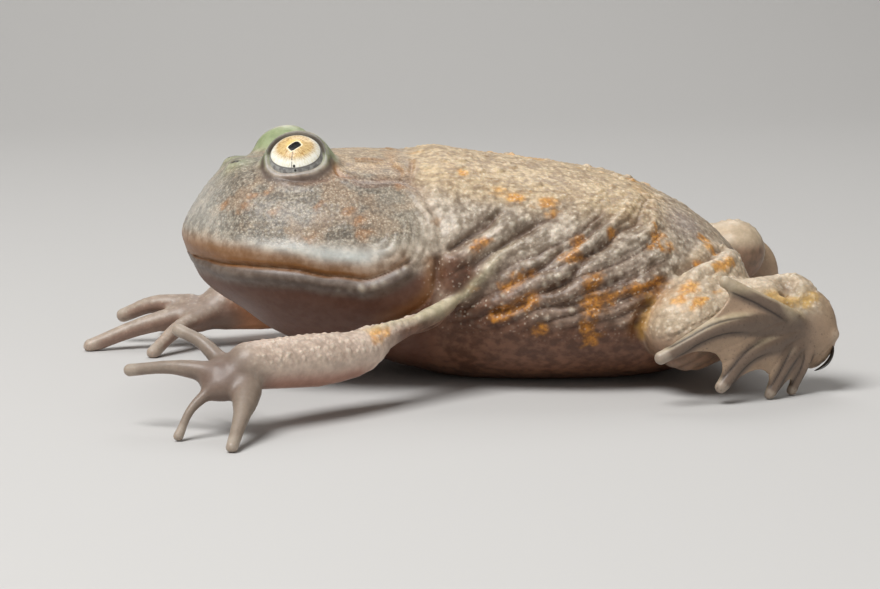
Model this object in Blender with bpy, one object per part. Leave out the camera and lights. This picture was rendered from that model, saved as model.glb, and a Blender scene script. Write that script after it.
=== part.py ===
"""A life-size, stout water frog with a wide mouth, creeping on its belly.
Its arms reach forward with spread fingers, and its hind feet are turned out and webbed.

All sizes below are millimetres. The frog faces -X, its left side is towards -Y, +Z is up,
and the floor is at z = 0. The last step moves it so that the origin is under its middle.
"""

import math

import bmesh
import bpy
import numpy as np
from mathutils import Matrix, Vector

MM = 0.001
GAP = 0.3  # between two pieces that touch

# The body from the side and from above. Each row is one cross-section:
# x, half width, top, height of the widest level, bottom.
# In the head the widest level is the line of the mouth.
SNOUT_X = -46.0
NECK_X = -6.0
RUMP_X = 55.5
RUMP_START = 40.0  # where the body starts to round off behind
SECTIONS = (
    (-46.0, 0.0, 22.3, 22.3, 22.3),
    (-45.0, 7.6, 27.4, 22.2, 20.0),
    (-43.0, 12.6, 31.6, 22.1, 17.6),
    (-40.0, 16.8, 36.0, 22.0, 15.2),
    (-36.0, 20.4, 38.2, 21.9, 12.6),
    (-30.0, 23.6, 38.7, 21.8, 8.8),
    (-22.0, 25.8, 38.9, 21.5, 5.6),
    (-14.0, 26.6, 38.9, 21.2, 3.6),
    (-6.0, 26.4, 38.9, 20.0, 1.2),
    (0.0, 26.8, 39.4, 18.0, -0.4),
    (9.0, 28.6, 38.0, 16.0, -1.2),
    (19.0, 30.4, 36.7, 15.0, -1.4),
    (30.0, 30.6, 34.0, 14.0, -1.2),
    (40.0, 26.6, 30.4, 13.6, -0.2),
    (48.0, 19.4, 26.2, 14.4, 3.4),
    (53.0, 11.0, 22.0, 15.8, 8.6),
    (55.5, 0.0, 17.5, 17.5, 17.5),
)
TOP_SQUARENESS = 2.25
BOTTOM_SQUARENESS = 2.25

# The lips: two rounded rims along the closed mouth, with a groove between them.
MOUTH_CORNER_X = -13.0
MOUTH_FADE = (3.0, 5.0)  # before and behind the corner
LIP_BULGE = 0.7
LIP_HEIGHT = 1.9
LIP_SPREAD = 1.4
MOUTH_GROOVE = 0.9
GROOVE_SPREAD = 0.7

# Skin folds of the flank rise towards the rump. They fade in and out over these ranges.
FOLD_SLOPE = math.radians(41)
FOLD_SPACING = 5.8
FOLD_PHASE = 0.6
FOLD_DEPTH = 1.0
FOLD_START_X = (2, 8)
FOLD_END_X = (38, 48)
FOLD_LOW_Z = (4, 9)
FOLD_HIGH_Z = (24, 31)
FOLD_SIDE_Y = (12, 20)

EYE = (-26.2, 10.2, 37.9)
EYE_RADIUS = 5.5
EYE_LOOK = (-0.12, 0.80, 0.58)
LID_OFFSET = (0.3, -0.6, -0.9)
LID_RADII = (7.1, 6.4, 6.5)
LID_OPENING_RADII = (4.9, 4.0, 4.2)
NOSTRIL = (-37.0, 5.2, 37.6)
NOSTRIL_RADII = (0.7, 0.6, 1.1)
NOSTRIL_RAISE = 0.7
NOSTRIL_RIM_RADII = (2.3, 1.9, 1.3)
NOSTRIL_RIM_DROP = 0.5

# The arms, from the shoulder out. Fingers run from the palm to the tip, inner finger first.
ARMS = {
    "left": {
        "shoulder": (-0.5, -20.5, 14.6),
        "elbow": (-20.6, -38.0, 9.2),
        "wrist": (-38.0, -48.6, 9.4),
        "palm": (-42.6, -50.0, 8.2),
        "palm_up": (0.25, -0.35, 1.0),
        "fingers": (
            ((-41.4, -47.6, 9.8), (-45.0, -43.8, 13.4), (-48.6, -40.5, 15.0)),
            ((-43.2, -49.4, 8.9), (-50.0, -46.8, 9.4), (-56.8, -43.4, 8.5)),
            ((-43.4, -51.0, 7.6), (-47.4, -53.2, 4.8), (-49.6, -54.6, 0.8)),
            ((-40.4, -52.2, 7.0), (-40.8, -57.4, 4.8), (-42.4, -63.8, 0.8)),
        ),
    },
    "right": {
        "shoulder": (-0.5, 20.5, 14.6),
        "elbow": (-19.0, 35.5, 9.0),
        "wrist": (-36.5, 29.8, 8.4),
        "palm": (-41.8, 28.6, 6.8),
        "palm_up": (0.3, 0.1, 1.0),
        "fingers": (
            ((-41.6, 26.4, 5.8), (-46.0, 21.8, 4.2), (-50.4, 17.6, 0.8)),
            ((-43.4, 28.0, 6.0), (-52.8, 27.4, 4.6), (-61.6, 26.4, 0.8)),
            ((-43.4, 30.0, 6.2), (-49.6, 32.0, 6.8), (-56.6, 34.0, 5.2)),
            ((-41.2, 31.4, 6.0), (-45.2, 36.8, 4.0), (-48.2, 43.4, 0.8)),
        ),
    },
}
UPPER_ARM_RADII = (4.4, 4.2, 4.3)
FOREARM_RADII = (4.3, 4.4, 3.4)
PALM_RADII = (5.0, 4.3, 2.7)
FINGER_RADII = (1.5, 1.3, 1.0)

# The hind legs. Toes run from the heel to the tip, inner toe first.
LEGS = {
    "left": {
        "hip": (43.5, -10.0, 14.6),
        "thigh": (43.4, -19.6, 15.0),
        "knee": (37.2, -30.6, 11.4),
        "shin": (38.5, -29.4, 11.2),
        "calf": (47.5, -29.8, 13.2),
        "ankle": (57.0, -27.6, 15.6),
        "heel": (58.4, -31.6, 11.4),
        "heel_axis": (-0.12, 0.0, 1.0),
        "spade": (61.1, -33.2, 6.2),
        "spade_axis": (-0.62, 0.0, -0.78),
        "toes": (
            ((57.4, -34.0, 6.0), (54.6, -34.8, 0.8)),
            ((54.2, -35.2, 6.6), (50.0, -37.4, 0.8)),
            ((46.8, -38.4, 8.4), (40.8, -40.4, 3.0)),
            ((46.4, -39.4, 12.6), (30.2, -41.6, 8.4)),
            ((51.6, -36.6, 15.2), (41.8, -38.2, 20.2)),
        ),
    },
    "right": {
        "hip": (45.0, 10.0, 15.0),
        "thigh": (46.0, 20.0, 15.4),
        "knee": (42.8, 31.4, 11.8),
        "shin": (44.6, 30.4, 12.0),
        "calf": (55.0, 30.4, 16.0),
        "ankle": (64.6, 28.6, 14.9),
        "heel": (65.6, 32.4, 11.6),
        "heel_axis": (-0.12, 0.0, 1.0),
        "spade": (68.3, 34.0, 6.6),
        "spade_axis": (-0.62, 0.0, -0.78),
        "toes": (
            ((64.6, 34.8, 6.4), (61.8, 35.6, 0.8)),
            ((61.4, 36.0, 6.8), (57.2, 38.2, 0.8)),
            ((54.6, 39.0, 8.0), (48.4, 41.2, 0.8)),
            ((53.6, 40.2, 12.2), (37.6, 42.4, 7.0)),
            ((58.8, 37.4, 15.2), (49.2, 39.0, 19.6)),
        ),
    },
}
THIGH_RADII = (8.4, 8.8, 7.0)
SHANK_RADII = (6.6, 6.1, 4.7)
HEEL_RADII = (5.6, 3.0, 7.2)
TOE_RADII = (1.9, 1.4, 1.15, 1.0)
WEB_THICKNESS = 0.8
WEB_ROOT = 0.1  # where along the toes the web starts and ends
WEB_REACH = 0.93
WEB_DIPS = (0.15, 0.24, 0.2, 0.05)  # depth of each web's hollow edge, inner web first
SPADE_RADII = (2.9, 0.9, 0.8)

# Rings and sides of the meshes.
HEAD_RINGS = 22
HEAD_DEGREES = (0, 1.5, 3.5, 6, 9, 13, 19, 28, 40, 53, 66, 80)  # from the mouth to the top
TRUNK_RINGS = 25
RUMP_RINGS = 8
FLANK_DEGREES = np.linspace(-40, 60, 19)
BACK_DEGREES = np.linspace(70, 110, 5)
BELLY_DEGREES = np.linspace(230, 310, 7)
EYE_MESH = {"segments": 18, "rings": 10}
LID_MESH = {"segments": 24, "rings": 14}
PALM_MESH = {"segments": 16, "rings": 8}
SMALL_MESH = {"segments": 12, "rings": 6}
ARM_MESH = {"rings": 8, "sides": 16}
FINGER_MESH = {"rings": 6, "sides": 10}
THIGH_MESH = {"rings": 8, "sides": 20}
SHANK_MESH = {"rings": 8, "sides": 18}
TOE_MESH = {"rings": 8, "sides": 8}
WEB_ROWS = 3
WEB_STEPS = 6
PATH_STEPS = 40
DOME_STEPS = (0.45, 0.85)  # relative radii of the rings that close a round end

SKIN_COLOUR = (0.50, 0.42, 0.36)
THROAT_COLOUR = (0.46, 0.37, 0.36)
IRIS_COLOUR = (0.72, 0.66, 0.45)
SPADE_COLOUR = (0.03, 0.025, 0.02)
SKIN_ROUGHNESS = 0.55
EYE_ROUGHNESS = 0.15
SPADE_ROUGHNESS = 0.35
SMOOTH_ANGLE = math.radians(40)


def monotone(x, knots, values):
    """Smooth curve through the knots that never overshoots them."""
    knots, values = np.asarray(knots, float), np.asarray(values, float)
    step = np.diff(knots)
    slope = np.diff(values) / step
    tangent = np.zeros_like(values)
    same = slope[:-1] * slope[1:] > 0
    weight_a = 2 * step[1:] + step[:-1]
    weight_b = step[1:] + 2 * step[:-1]
    with np.errstate(divide="ignore", invalid="ignore"):
        mean = (weight_a + weight_b) / (weight_a / slope[:-1] + weight_b / slope[1:])
    tangent[1:-1] = np.where(same, mean, 0)
    tangent[0], tangent[-1] = slope[0], slope[-1]
    i = np.clip(np.searchsorted(knots, x) - 1, 0, len(step) - 1)
    t = (x - knots[i]) / step[i]
    return (
        (1 + 2 * t) * (1 - t) ** 2 * values[i]
        + t * (1 - t) ** 2 * step[i] * tangent[i]
        + t**2 * (3 - 2 * t) * values[i + 1]
        + t**2 * (t - 1) * step[i] * tangent[i + 1]
    )


def body_profile(x):
    """Half width, height above the widest level, that level, and depth below it, at each x.
    The squares are interpolated, so that snout and rump are round."""
    knots, half, top, level, bottom = np.array(SECTIONS).T
    x = np.clip(x, SNOUT_X, RUMP_X)
    middle = monotone(x, knots, level)
    half_width = np.sqrt(np.maximum(monotone(x, knots, half**2), 0))
    above = np.sqrt(np.maximum(monotone(x, knots, (top - level) ** 2), 0))
    below = np.sqrt(np.maximum(monotone(x, knots, (level - bottom) ** 2), 0))
    return half_width, above, middle, below


def cross_sections(xs, angles):
    """Grid of points, one superellipse for each x. Angle 0 is the right side, 90 degrees the top."""
    half_width, above, middle, below = (v[:, None] for v in body_profile(xs))
    c, s = np.cos(angles)[None, :], np.sin(angles)[None, :]
    squareness = np.where(s >= 0, TOP_SQUARENESS, BOTTOM_SQUARENESS)
    reach = np.where(s >= 0, above, below)
    y = half_width * np.sign(c) * np.abs(c) ** (2 / squareness)
    z = middle + reach * np.sign(s) * np.abs(s) ** (2 / squareness)
    x = np.broadcast_to(xs[:, None], y.shape)
    return np.stack([x, y, z], axis=-1)


def outward(grid):
    """Unit normals of a grid of points, pointing away from the body."""
    along = np.gradient(grid, axis=0)
    around = np.gradient(grid, axis=1)
    normal = np.cross(around, along)
    return normal / np.maximum(np.linalg.norm(normal, axis=-1, keepdims=True), 1e-9)


def unit(vector):
    return vector / np.linalg.norm(vector)


def smoothstep(low, high, value):
    t = np.clip((value - low) / (high - low), 0, 1)
    return t * t * (3 - 2 * t)


def lip_relief(x, above_mouth):
    """Height of the lips over the plain head, with the groove between them."""
    before, behind = MOUTH_FADE
    in_mouth = 1 - smoothstep(MOUTH_CORNER_X - before, MOUTH_CORNER_X + behind, x)
    lip = LIP_BULGE * np.exp(-(((np.abs(above_mouth) - LIP_HEIGHT) / LIP_SPREAD) ** 2))
    groove = MOUTH_GROOVE * np.exp(-((above_mouth / GROOVE_SPREAD) ** 2))
    return in_mouth * (lip - groove)


def fold_relief(x, y, z):
    """Depth of the grooves between the flank's slanting folds."""
    across = z * math.cos(FOLD_SLOPE) - x * math.sin(FOLD_SLOPE)
    wave = 0.5 + 0.5 * np.cos(2 * math.pi * (across - FOLD_PHASE) / FOLD_SPACING)
    reach = smoothstep(*FOLD_START_X, x) * (1 - smoothstep(*FOLD_END_X, x))
    height = smoothstep(*FOLD_LOW_Z, z) * (1 - smoothstep(*FOLD_HIGH_Z, z))
    side = smoothstep(*FOLD_SIDE_Y, np.abs(y))
    return -FOLD_DEPTH * (1 - wave) * reach * height * side


def mesh_object(name, points, faces):
    """A closed mesh object from points in millimetres, with its faces pointing out."""
    mesh = bpy.data.meshes.new(name)
    mesh.from_pydata([Vector(p) * MM for p in points], [], faces)
    work = bmesh.new()
    work.from_mesh(mesh)
    bmesh.ops.recalc_face_normals(work, faces=work.faces)
    work.to_mesh(mesh)
    work.free()
    obj = bpy.data.objects.new(name, mesh)
    bpy.context.scene.collection.objects.link(obj)
    return obj


def ring_faces(rings, sides):
    """Quads between neighbouring closed rings of points stored ring by ring."""
    return [
        (
            i * sides + j,
            i * sides + (j + 1) % sides,
            (i + 1) * sides + (j + 1) % sides,
            (i + 1) * sides + j,
        )
        for i in range(rings - 1)
        for j in range(sides)
    ]


def end_stations(start, end, count, tip_at_start):
    """x of the rings, closer together towards the round end, and just short of its pole."""
    angle = np.linspace(0, math.pi / 2, count + 1)
    if tip_at_start:
        return start + (end - start) * (1 - np.cos(angle[1:]))
    return start + (end - start) * np.sin(angle[:-1])


def half_head(name, upper):
    """Upper head or lower jaw: half of each cross-section, closed along the mouth."""
    quarter = np.radians(HEAD_DEGREES)
    angles = np.concatenate([quarter, math.pi - quarter[::-1]])
    if not upper:
        angles = -angles
    xs = end_stations(SNOUT_X, NECK_X, HEAD_RINGS, tip_at_start=True)
    grid = cross_sections(xs, angles)
    normals = outward(grid)
    if not upper:
        normals = -normals
    level = body_profile(xs)[2][:, None]
    grid = grid + normals * lip_relief(grid[..., 0], grid[..., 2] - level)[..., None]
    grid[..., 2] += GAP / 2 if upper else -GAP / 2
    rings, sides = grid.shape[:2]
    grid[-1, :, 0] = NECK_X
    tip = len(grid.reshape(-1, 3))
    points = np.vstack([grid.reshape(-1, 3), grid[0].mean(axis=0)])
    faces = ring_faces(rings, sides)
    faces += [(tip, (j + 1) % sides, j) for j in range(sides)]
    faces.append([(rings - 1) * sides + j for j in range(sides)])
    return mesh_object(name, points, faces)


def torso_solid(name):
    """The trunk behind the neck, with slanting folds on both flanks.
    Its quads are split along the folds, from low in front to high behind."""
    flank, back, belly = (np.radians(v) for v in (FLANK_DEGREES, BACK_DEGREES, BELLY_DEGREES))
    angles = np.concatenate([flank, back, math.pi - flank[::-1], belly])
    start = NECK_X + GAP
    trunk = np.linspace(start, RUMP_START, TRUNK_RINGS)
    rump = end_stations(RUMP_START, RUMP_X, RUMP_RINGS, tip_at_start=False)
    xs = np.concatenate([trunk, rump[1:]])
    grid = cross_sections(xs, angles)
    relief = fold_relief(grid[..., 0], grid[..., 1], grid[..., 2])
    grid = grid + outward(grid) * relief[..., None]
    grid[0, :, 0] = start
    rings, sides = grid.shape[:2]
    tip = rings * sides
    points = np.vstack([grid.reshape(-1, 3), [(RUMP_X, 0, SECTIONS[-1][3])]])
    faces = []
    right_side = len(flank) + len(back)
    for a, b, c, d in ring_faces(rings, sides):
        if a % sides < right_side:
            faces += [(a, b, c), (a, c, d)]
        else:
            faces += [(a, b, d), (b, c, d)]
    last = (rings - 1) * sides
    faces += [(tip, last + j, last + (j + 1) % sides) for j in range(sides)]
    faces.append(range(sides))
    return mesh_object(name, points, faces)


def ellipsoid(name, centre, radii, segments, rings, turn=None):
    """A closed ellipsoid; turn is its rotation as a matrix."""
    mesh = bpy.data.meshes.new(name)
    work = bmesh.new()
    bmesh.ops.create_uvsphere(work, u_segments=segments, v_segments=rings, radius=1)
    place = Matrix.Translation(Vector(centre) * MM)
    if turn is not None:
        place = place @ turn.to_4x4()
    place = place @ Matrix.Diagonal([r * MM for r in radii] + [1])
    bmesh.ops.transform(work, matrix=place, verts=work.verts)
    work.to_mesh(mesh)
    work.free()
    obj = bpy.data.objects.new(name, mesh)
    bpy.context.scene.collection.objects.link(obj)
    return obj


def curve_points(knots, count):
    """Points evenly spread along a smooth curve through the knots."""
    knots = np.asarray(knots, float)
    t = np.linspace(0, len(knots) - 1, count)
    padded = np.vstack([2 * knots[0] - knots[1], knots, 2 * knots[-1] - knots[-2]])
    i = np.clip(t.astype(int), 0, len(knots) - 2)
    f = (t - i)[:, None]
    a, b, c, d = padded[i], padded[i + 1], padded[i + 2], padded[i + 3]
    return 0.5 * (
        2 * b + (c - a) * f + (2 * a - 5 * b + 4 * c - d) * f**2 + (3 * b - a - 3 * c + d) * f**3
    )


def limb(name, knots, radii, rings, sides, grow=0.0):
    """A tapered limb with round ends along a smooth curve. It can be grown all over, to make room."""
    centres = curve_points(knots, rings)
    sizes = np.interp(np.linspace(0, 1, rings), np.linspace(0, 1, len(radii)), radii) + grow
    tangent = np.gradient(centres, axis=0)
    tangent /= np.linalg.norm(tangent, axis=1, keepdims=True)
    rows = [(centres[i], tangent[i], sizes[i]) for i in range(rings)]
    for step in reversed(DOME_STEPS):
        inset = math.sqrt(1 - step**2)
        rows.insert(0, (centres[0] - tangent[0] * sizes[0] * inset, tangent[0], sizes[0] * step))
        rows.append((centres[-1] + tangent[-1] * sizes[-1] * inset, tangent[-1], sizes[-1] * step))
    points = []
    for centre, way, size in rows:
        side = unit(np.cross((0, 0, 1), way))
        up = np.cross(way, side)
        for k in range(sides):
            angle = 2 * math.pi * k / sides
            points.append(centre + size * (math.cos(angle) * side + math.sin(angle) * up))
    faces = ring_faces(len(rows), sides)
    start_pole = len(points)
    points.append(centres[0] - tangent[0] * sizes[0])
    points.append(centres[-1] + tangent[-1] * sizes[-1])
    last = (len(rows) - 1) * sides
    for j in range(sides):
        faces.append((start_pole, (j + 1) % sides, j))
        faces.append((start_pole + 1, last + j, last + (j + 1) % sides))
    return mesh_object(name, points, faces)


def applied(obj):
    """Replaces the object's mesh by its evaluated one and drops its modifiers."""
    bpy.context.view_layer.update()
    graph = bpy.context.evaluated_depsgraph_get()
    mesh = bpy.data.meshes.new_from_object(obj.evaluated_get(graph))
    obj.modifiers.clear()
    obj.data = mesh
    return obj


def cut_by(obj, cutter, keep=False):
    """Cuts obj by another object, which is then removed unless it is kept."""
    modifier = obj.modifiers.new("cut", "BOOLEAN")
    modifier.operation = "DIFFERENCE"
    modifier.solver = "EXACT"
    modifier.object = cutter
    applied(obj)
    if not keep:
        bpy.data.objects.remove(cutter)
    return obj


def unite(obj, others):
    """One Boolean union of obj with a collection of closed pieces, which are then removed."""
    pieces = bpy.data.collections.new(obj.name + "_pieces")
    bpy.context.scene.collection.children.link(pieces)
    for other in others:
        bpy.context.scene.collection.objects.unlink(other)
        pieces.objects.link(other)
    modifier = obj.modifiers.new("unite", "BOOLEAN")
    modifier.operand_type = "COLLECTION"
    modifier.operation = "UNION"
    modifier.solver = "EXACT"
    modifier.use_self = True
    modifier.collection = pieces
    applied(obj)
    for other in others:
        bpy.data.objects.remove(other)
    bpy.data.collections.remove(pieces)
    return obj


def keep_largest(obj):
    """Drops every closed surface but the largest."""
    work = bmesh.new()
    work.from_mesh(obj.data)
    left = set(work.verts)
    groups = []
    while left:
        seed = left.pop()
        group, front = {seed}, [seed]
        while front:
            for edge in front.pop().link_edges:
                for vert in edge.verts:
                    if vert in left:
                        left.remove(vert)
                        group.add(vert)
                        front.append(vert)
        groups.append(group)
    groups.sort(key=len, reverse=True)
    for group in groups[1:]:
        bmesh.ops.delete(work, geom=list(group), context="VERTS")
    work.to_mesh(obj.data)
    work.free()
    return obj


def flatten_on_floor(obj):
    """Cuts off what is below the floor, so that the piece rests on a small flat."""
    work = bmesh.new()
    work.from_mesh(obj.data)
    if min(v.co.z for v in work.verts) < 0:
        everything = work.verts[:] + work.edges[:] + work.faces[:]
        cut = bmesh.ops.bisect_plane(
            work, geom=everything, plane_co=(0, 0, 0), plane_no=(0, 0, -1), clear_outer=True
        )
        edges = [e for e in cut["geom_cut"] if isinstance(e, bmesh.types.BMEdge)]
        bmesh.ops.holes_fill(work, edges=edges, sides=0)
        bmesh.ops.recalc_face_normals(work, faces=work.faces)
        work.to_mesh(obj.data)
    work.free()
    return obj


def material(name, colour, roughness):
    made = bpy.data.materials.new(name)
    made.use_nodes = True
    shader = made.node_tree.nodes["Principled BSDF"]
    shader.inputs["Base Color"].default_value = (*colour, 1)
    shader.inputs["Roughness"].default_value = roughness
    return made


def on_side(point, side):
    """A point written for the right side, placed on the given side."""
    x, y, z = point
    return Vector((x, -y if side == "left" else y, z))


def build_head():
    """The upper head with its eye bulges, lids and nostrils."""
    head = half_head("head", upper=True)
    bulges = []
    for side in ARMS:
        lid = on_side(EYE, side) + on_side(LID_OFFSET, side)
        bulges.append(ellipsoid("lid_" + side, lid, LID_RADII, **LID_MESH))
        rim = on_side(NOSTRIL, side) - Vector((0, 0, NOSTRIL_RIM_DROP))
        bulges.append(ellipsoid("rim_" + side, rim, NOSTRIL_RIM_RADII, **SMALL_MESH))
    unite(head, bulges)
    for side in ARMS:
        look = on_side(EYE_LOOK, side).normalized()
        eye = on_side(EYE, side)
        cut_by(head, ellipsoid("socket", eye, [EYE_RADIUS + GAP] * 3, **EYE_MESH))
        turn = look.to_track_quat("Z", "Y").to_matrix()
        opening = ellipsoid("opening", eye + look * EYE_RADIUS, LID_OPENING_RADII, **EYE_MESH, turn=turn)
        cut_by(head, opening)
        pit = on_side(NOSTRIL, side) + Vector((0, 0, NOSTRIL_RAISE))
        cut_by(head, ellipsoid("pit", pit, NOSTRIL_RADII, **SMALL_MESH))
    return keep_largest(head)


def build_arm(side, body):
    """Upper arm, forearm, palm and four fingers, each its own piece. The body makes room for the arm."""
    arm = ARMS[side]
    path = curve_points([arm["shoulder"], arm["elbow"], arm["wrist"]], PATH_STEPS + 1)
    upper_knots = path[0 : PATH_STEPS // 2 + 1 : PATH_STEPS // 8]
    fore_knots = path[PATH_STEPS // 2 :: PATH_STEPS // 8]
    upper = limb("upper_arm_" + side, upper_knots, UPPER_ARM_RADII, **ARM_MESH)
    forearm = limb("forearm_" + side, fore_knots, FOREARM_RADII, **ARM_MESH)
    upper_room = limb("room", upper_knots, UPPER_ARM_RADII, **ARM_MESH, grow=GAP)
    for piece in [*body, forearm]:
        cut_by(piece, upper_room, keep=True)
    bpy.data.objects.remove(upper_room)
    turn = palm_turn(arm)
    palm = ellipsoid("hand_" + side, arm["palm"], PALM_RADII, **PALM_MESH, turn=turn)
    fore_room = limb("room", fore_knots, FOREARM_RADII, **ARM_MESH, grow=GAP)
    cut_by(palm, fore_room, keep=True)
    palm_room = ellipsoid("room", arm["palm"], [r + GAP for r in PALM_RADII], **PALM_MESH, turn=turn)
    rooms = [palm_room, fore_room]
    fingers = []
    for number, knots in enumerate(arm["fingers"], start=1):
        finger = limb(f"finger_{side}_{number}", knots, FINGER_RADII, **FINGER_MESH)
        for room in rooms:
            cut_by(finger, room, keep=True)
        keep_largest(finger)
        rooms.append(limb("room", knots, FINGER_RADII, **FINGER_MESH, grow=GAP))
        fingers.append(finger)
    for room in rooms:
        bpy.data.objects.remove(room)
    return [upper, keep_largest(forearm), keep_largest(palm), *fingers]


def palm_turn(arm):
    """Rotation of the palm: its long axis points away from the wrist, its short one up."""
    forward = Vector(arm["palm"]) - Vector(arm["wrist"])
    up = Vector(arm["palm_up"]).normalized()
    forward = (forward - up * forward.dot(up)).normalized()
    across = up.cross(forward)
    return Matrix((forward, across, up)).transposed()


def web(name, first, second, dip):
    """The skin between two toes, from their roots to a hollow free edge, with even thickness.
    Both faces are split into triangles alike."""
    start = curve_points(first, PATH_STEPS)
    end = curve_points(second, PATH_STEPS)
    sheet = np.empty((WEB_ROWS + 1, WEB_STEPS + 1, 3))
    for j in range(WEB_ROWS + 1):
        u = j / WEB_ROWS
        reach = WEB_REACH - dip * 4 * u * (1 - u)
        for i in range(WEB_STEPS + 1):
            at = (WEB_ROOT + (reach - WEB_ROOT) * i / WEB_STEPS) * (PATH_STEPS - 1)
            low = int(at)
            a = start[low] + (start[low + 1] - start[low]) * (at - low)
            b = end[low] + (end[low + 1] - end[low]) * (at - low)
            sheet[j, i] = a + (b - a) * u
    normal = np.cross(np.gradient(sheet, axis=1), np.gradient(sheet, axis=0))
    normal /= np.linalg.norm(normal, axis=-1, keepdims=True)
    upper = (sheet + normal * WEB_THICKNESS / 2).reshape(-1, 3)
    lower = (sheet - normal * WEB_THICKNESS / 2).reshape(-1, 3)
    row = WEB_STEPS + 1
    under = len(upper)
    faces = []
    for j in range(WEB_ROWS):
        for i in range(WEB_STEPS):
            a = j * row + i
            b, c, d = a + 1, a + row + 1, a + row
            faces += [(a, b, c), (a, c, d)]
            faces += [(under + a, under + c, under + b), (under + a, under + d, under + c)]
    rim = list(range(row))
    rim += [j * row + WEB_STEPS for j in range(1, WEB_ROWS + 1)]
    rim += [WEB_ROWS * row + i for i in range(WEB_STEPS - 1, -1, -1)]
    rim += [j * row for j in range(WEB_ROWS - 1, 0, -1)]
    for a, b in zip(rim, rim[1:] + rim[:1]):
        faces += [(a, under + a, under + b), (a, under + b, b)]
    return mesh_object(name, np.vstack([upper, lower]), faces)


def build_leg(side, torso):
    """Thigh, shank, webbed foot and the dark digging spade on its sole."""
    leg = LEGS[side]
    thigh_knots = [leg["hip"], leg["thigh"], leg["knee"]]
    shank_knots = [leg["shin"], leg["calf"], leg["ankle"]]
    thigh = limb("thigh_" + side, thigh_knots, THIGH_RADII, **THIGH_MESH)
    shank = limb("shank_" + side, shank_knots, SHANK_RADII, **SHANK_MESH)
    thigh_room = limb("room", thigh_knots, THIGH_RADII, **THIGH_MESH, grow=GAP)
    shank_room = limb("room", shank_knots, SHANK_RADII, **SHANK_MESH, grow=GAP)
    cut_by(shank, thigh_room, keep=True)
    cut_by(torso, thigh_room, keep=True)
    cut_by(torso, shank_room, keep=True)
    heel_turn = Vector(leg["heel_axis"]).to_track_quat("Z", "Y").to_matrix()
    foot = ellipsoid("foot_" + side, leg["heel"], HEEL_RADII, **PALM_MESH, turn=heel_turn)
    toes = [[leg["heel"], *toe] for toe in leg["toes"]]
    pieces = [limb("toe", knots, TOE_RADII, **TOE_MESH) for knots in toes]
    pieces += [web("web", *pair) for pair in zip(toes, toes[1:], WEB_DIPS)]
    unite(foot, pieces)
    cut_by(foot, thigh_room)
    cut_by(foot, shank_room)
    turn = Vector(leg["spade_axis"]).to_track_quat("X", "Z").to_matrix()
    spade = ellipsoid("tubercle_" + side, leg["spade"], SPADE_RADII, **SMALL_MESH, turn=turn)
    spade_room = ellipsoid("room", leg["spade"], [r + GAP for r in SPADE_RADII], **SMALL_MESH, turn=turn)
    cut_by(foot, spade_room)
    return [thigh, keep_largest(shank), keep_largest(foot)], spade


def finish(piece, colour, roughness):
    """Rests a piece on the floor, places it by its own middle and gives it its material."""
    flatten_on_floor(keep_largest(piece))
    corners = [v.co for v in piece.data.vertices]
    low, high = (Vector([end(c[i] for c in corners) for i in range(3)]) for end in (min, max))
    middle = (low + high) / 2
    piece.data.transform(Matrix.Translation(-middle))
    piece.location = middle
    piece.data.materials.clear()
    piece.data.materials.append(material(piece.name, colour, roughness))
    piece.data.set_sharp_from_angle(angle=SMOOTH_ANGLE)
    return low, high


def main():
    for obj in list(bpy.data.objects):
        bpy.data.objects.remove(obj)
    head = build_head()
    jaw = half_head("jaw", upper=False)
    torso = torso_solid("torso")
    skin = [head, torso]
    spades = []
    for side in ARMS:
        skin += build_arm(side, [head, jaw, torso])
        leg, spade = build_leg(side, torso)
        skin += leg
        spades.append(spade)
    eyes = [ellipsoid("eye_" + side, on_side(EYE, side), [EYE_RADIUS] * 3, **EYE_MESH) for side in ARMS]
    boxes = [finish(piece, SKIN_COLOUR, SKIN_ROUGHNESS) for piece in skin]
    boxes.append(finish(jaw, THROAT_COLOUR, SKIN_ROUGHNESS))
    boxes += [finish(piece, SPADE_COLOUR, SPADE_ROUGHNESS) for piece in spades]
    boxes += [finish(piece, IRIS_COLOUR, EYE_ROUGHNESS) for piece in eyes]
    # The whole frog hangs on one empty, which puts the middle of its floor box at the origin.
    low, high = ([end(box[k][i] for box in boxes) for i in range(2)] for k, end in ((0, min), (1, max)))
    frog = bpy.data.objects.new("frog", None)
    bpy.context.scene.collection.objects.link(frog)
    for piece in [*skin, jaw, *spades, *eyes]:
        piece.parent = frog
    frog.location = (-(low[0] + high[0]) / 2, -(low[1] + high[1]) / 2, 0)
    bpy.context.view_layer.update()


main()
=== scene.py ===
"""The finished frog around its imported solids: one modelled skin, two eyes and two heel spades.

Sizes are millimetres in the frog's own frame: it faces -X, its left side is towards -Y,
+Z is up and the floor is at z = 0. The skin is the surface where a distance field is zero.
The field blends the body, limbs, fingers, toes and webs softly into each other.
Folds, lips, creases and warts are then raised on it along its normals.
"""

import itertools
import math

import bmesh
import bpy
import numpy as np
from mathutils import Matrix, Vector
from mathutils.bvhtree import BVHTree


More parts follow.
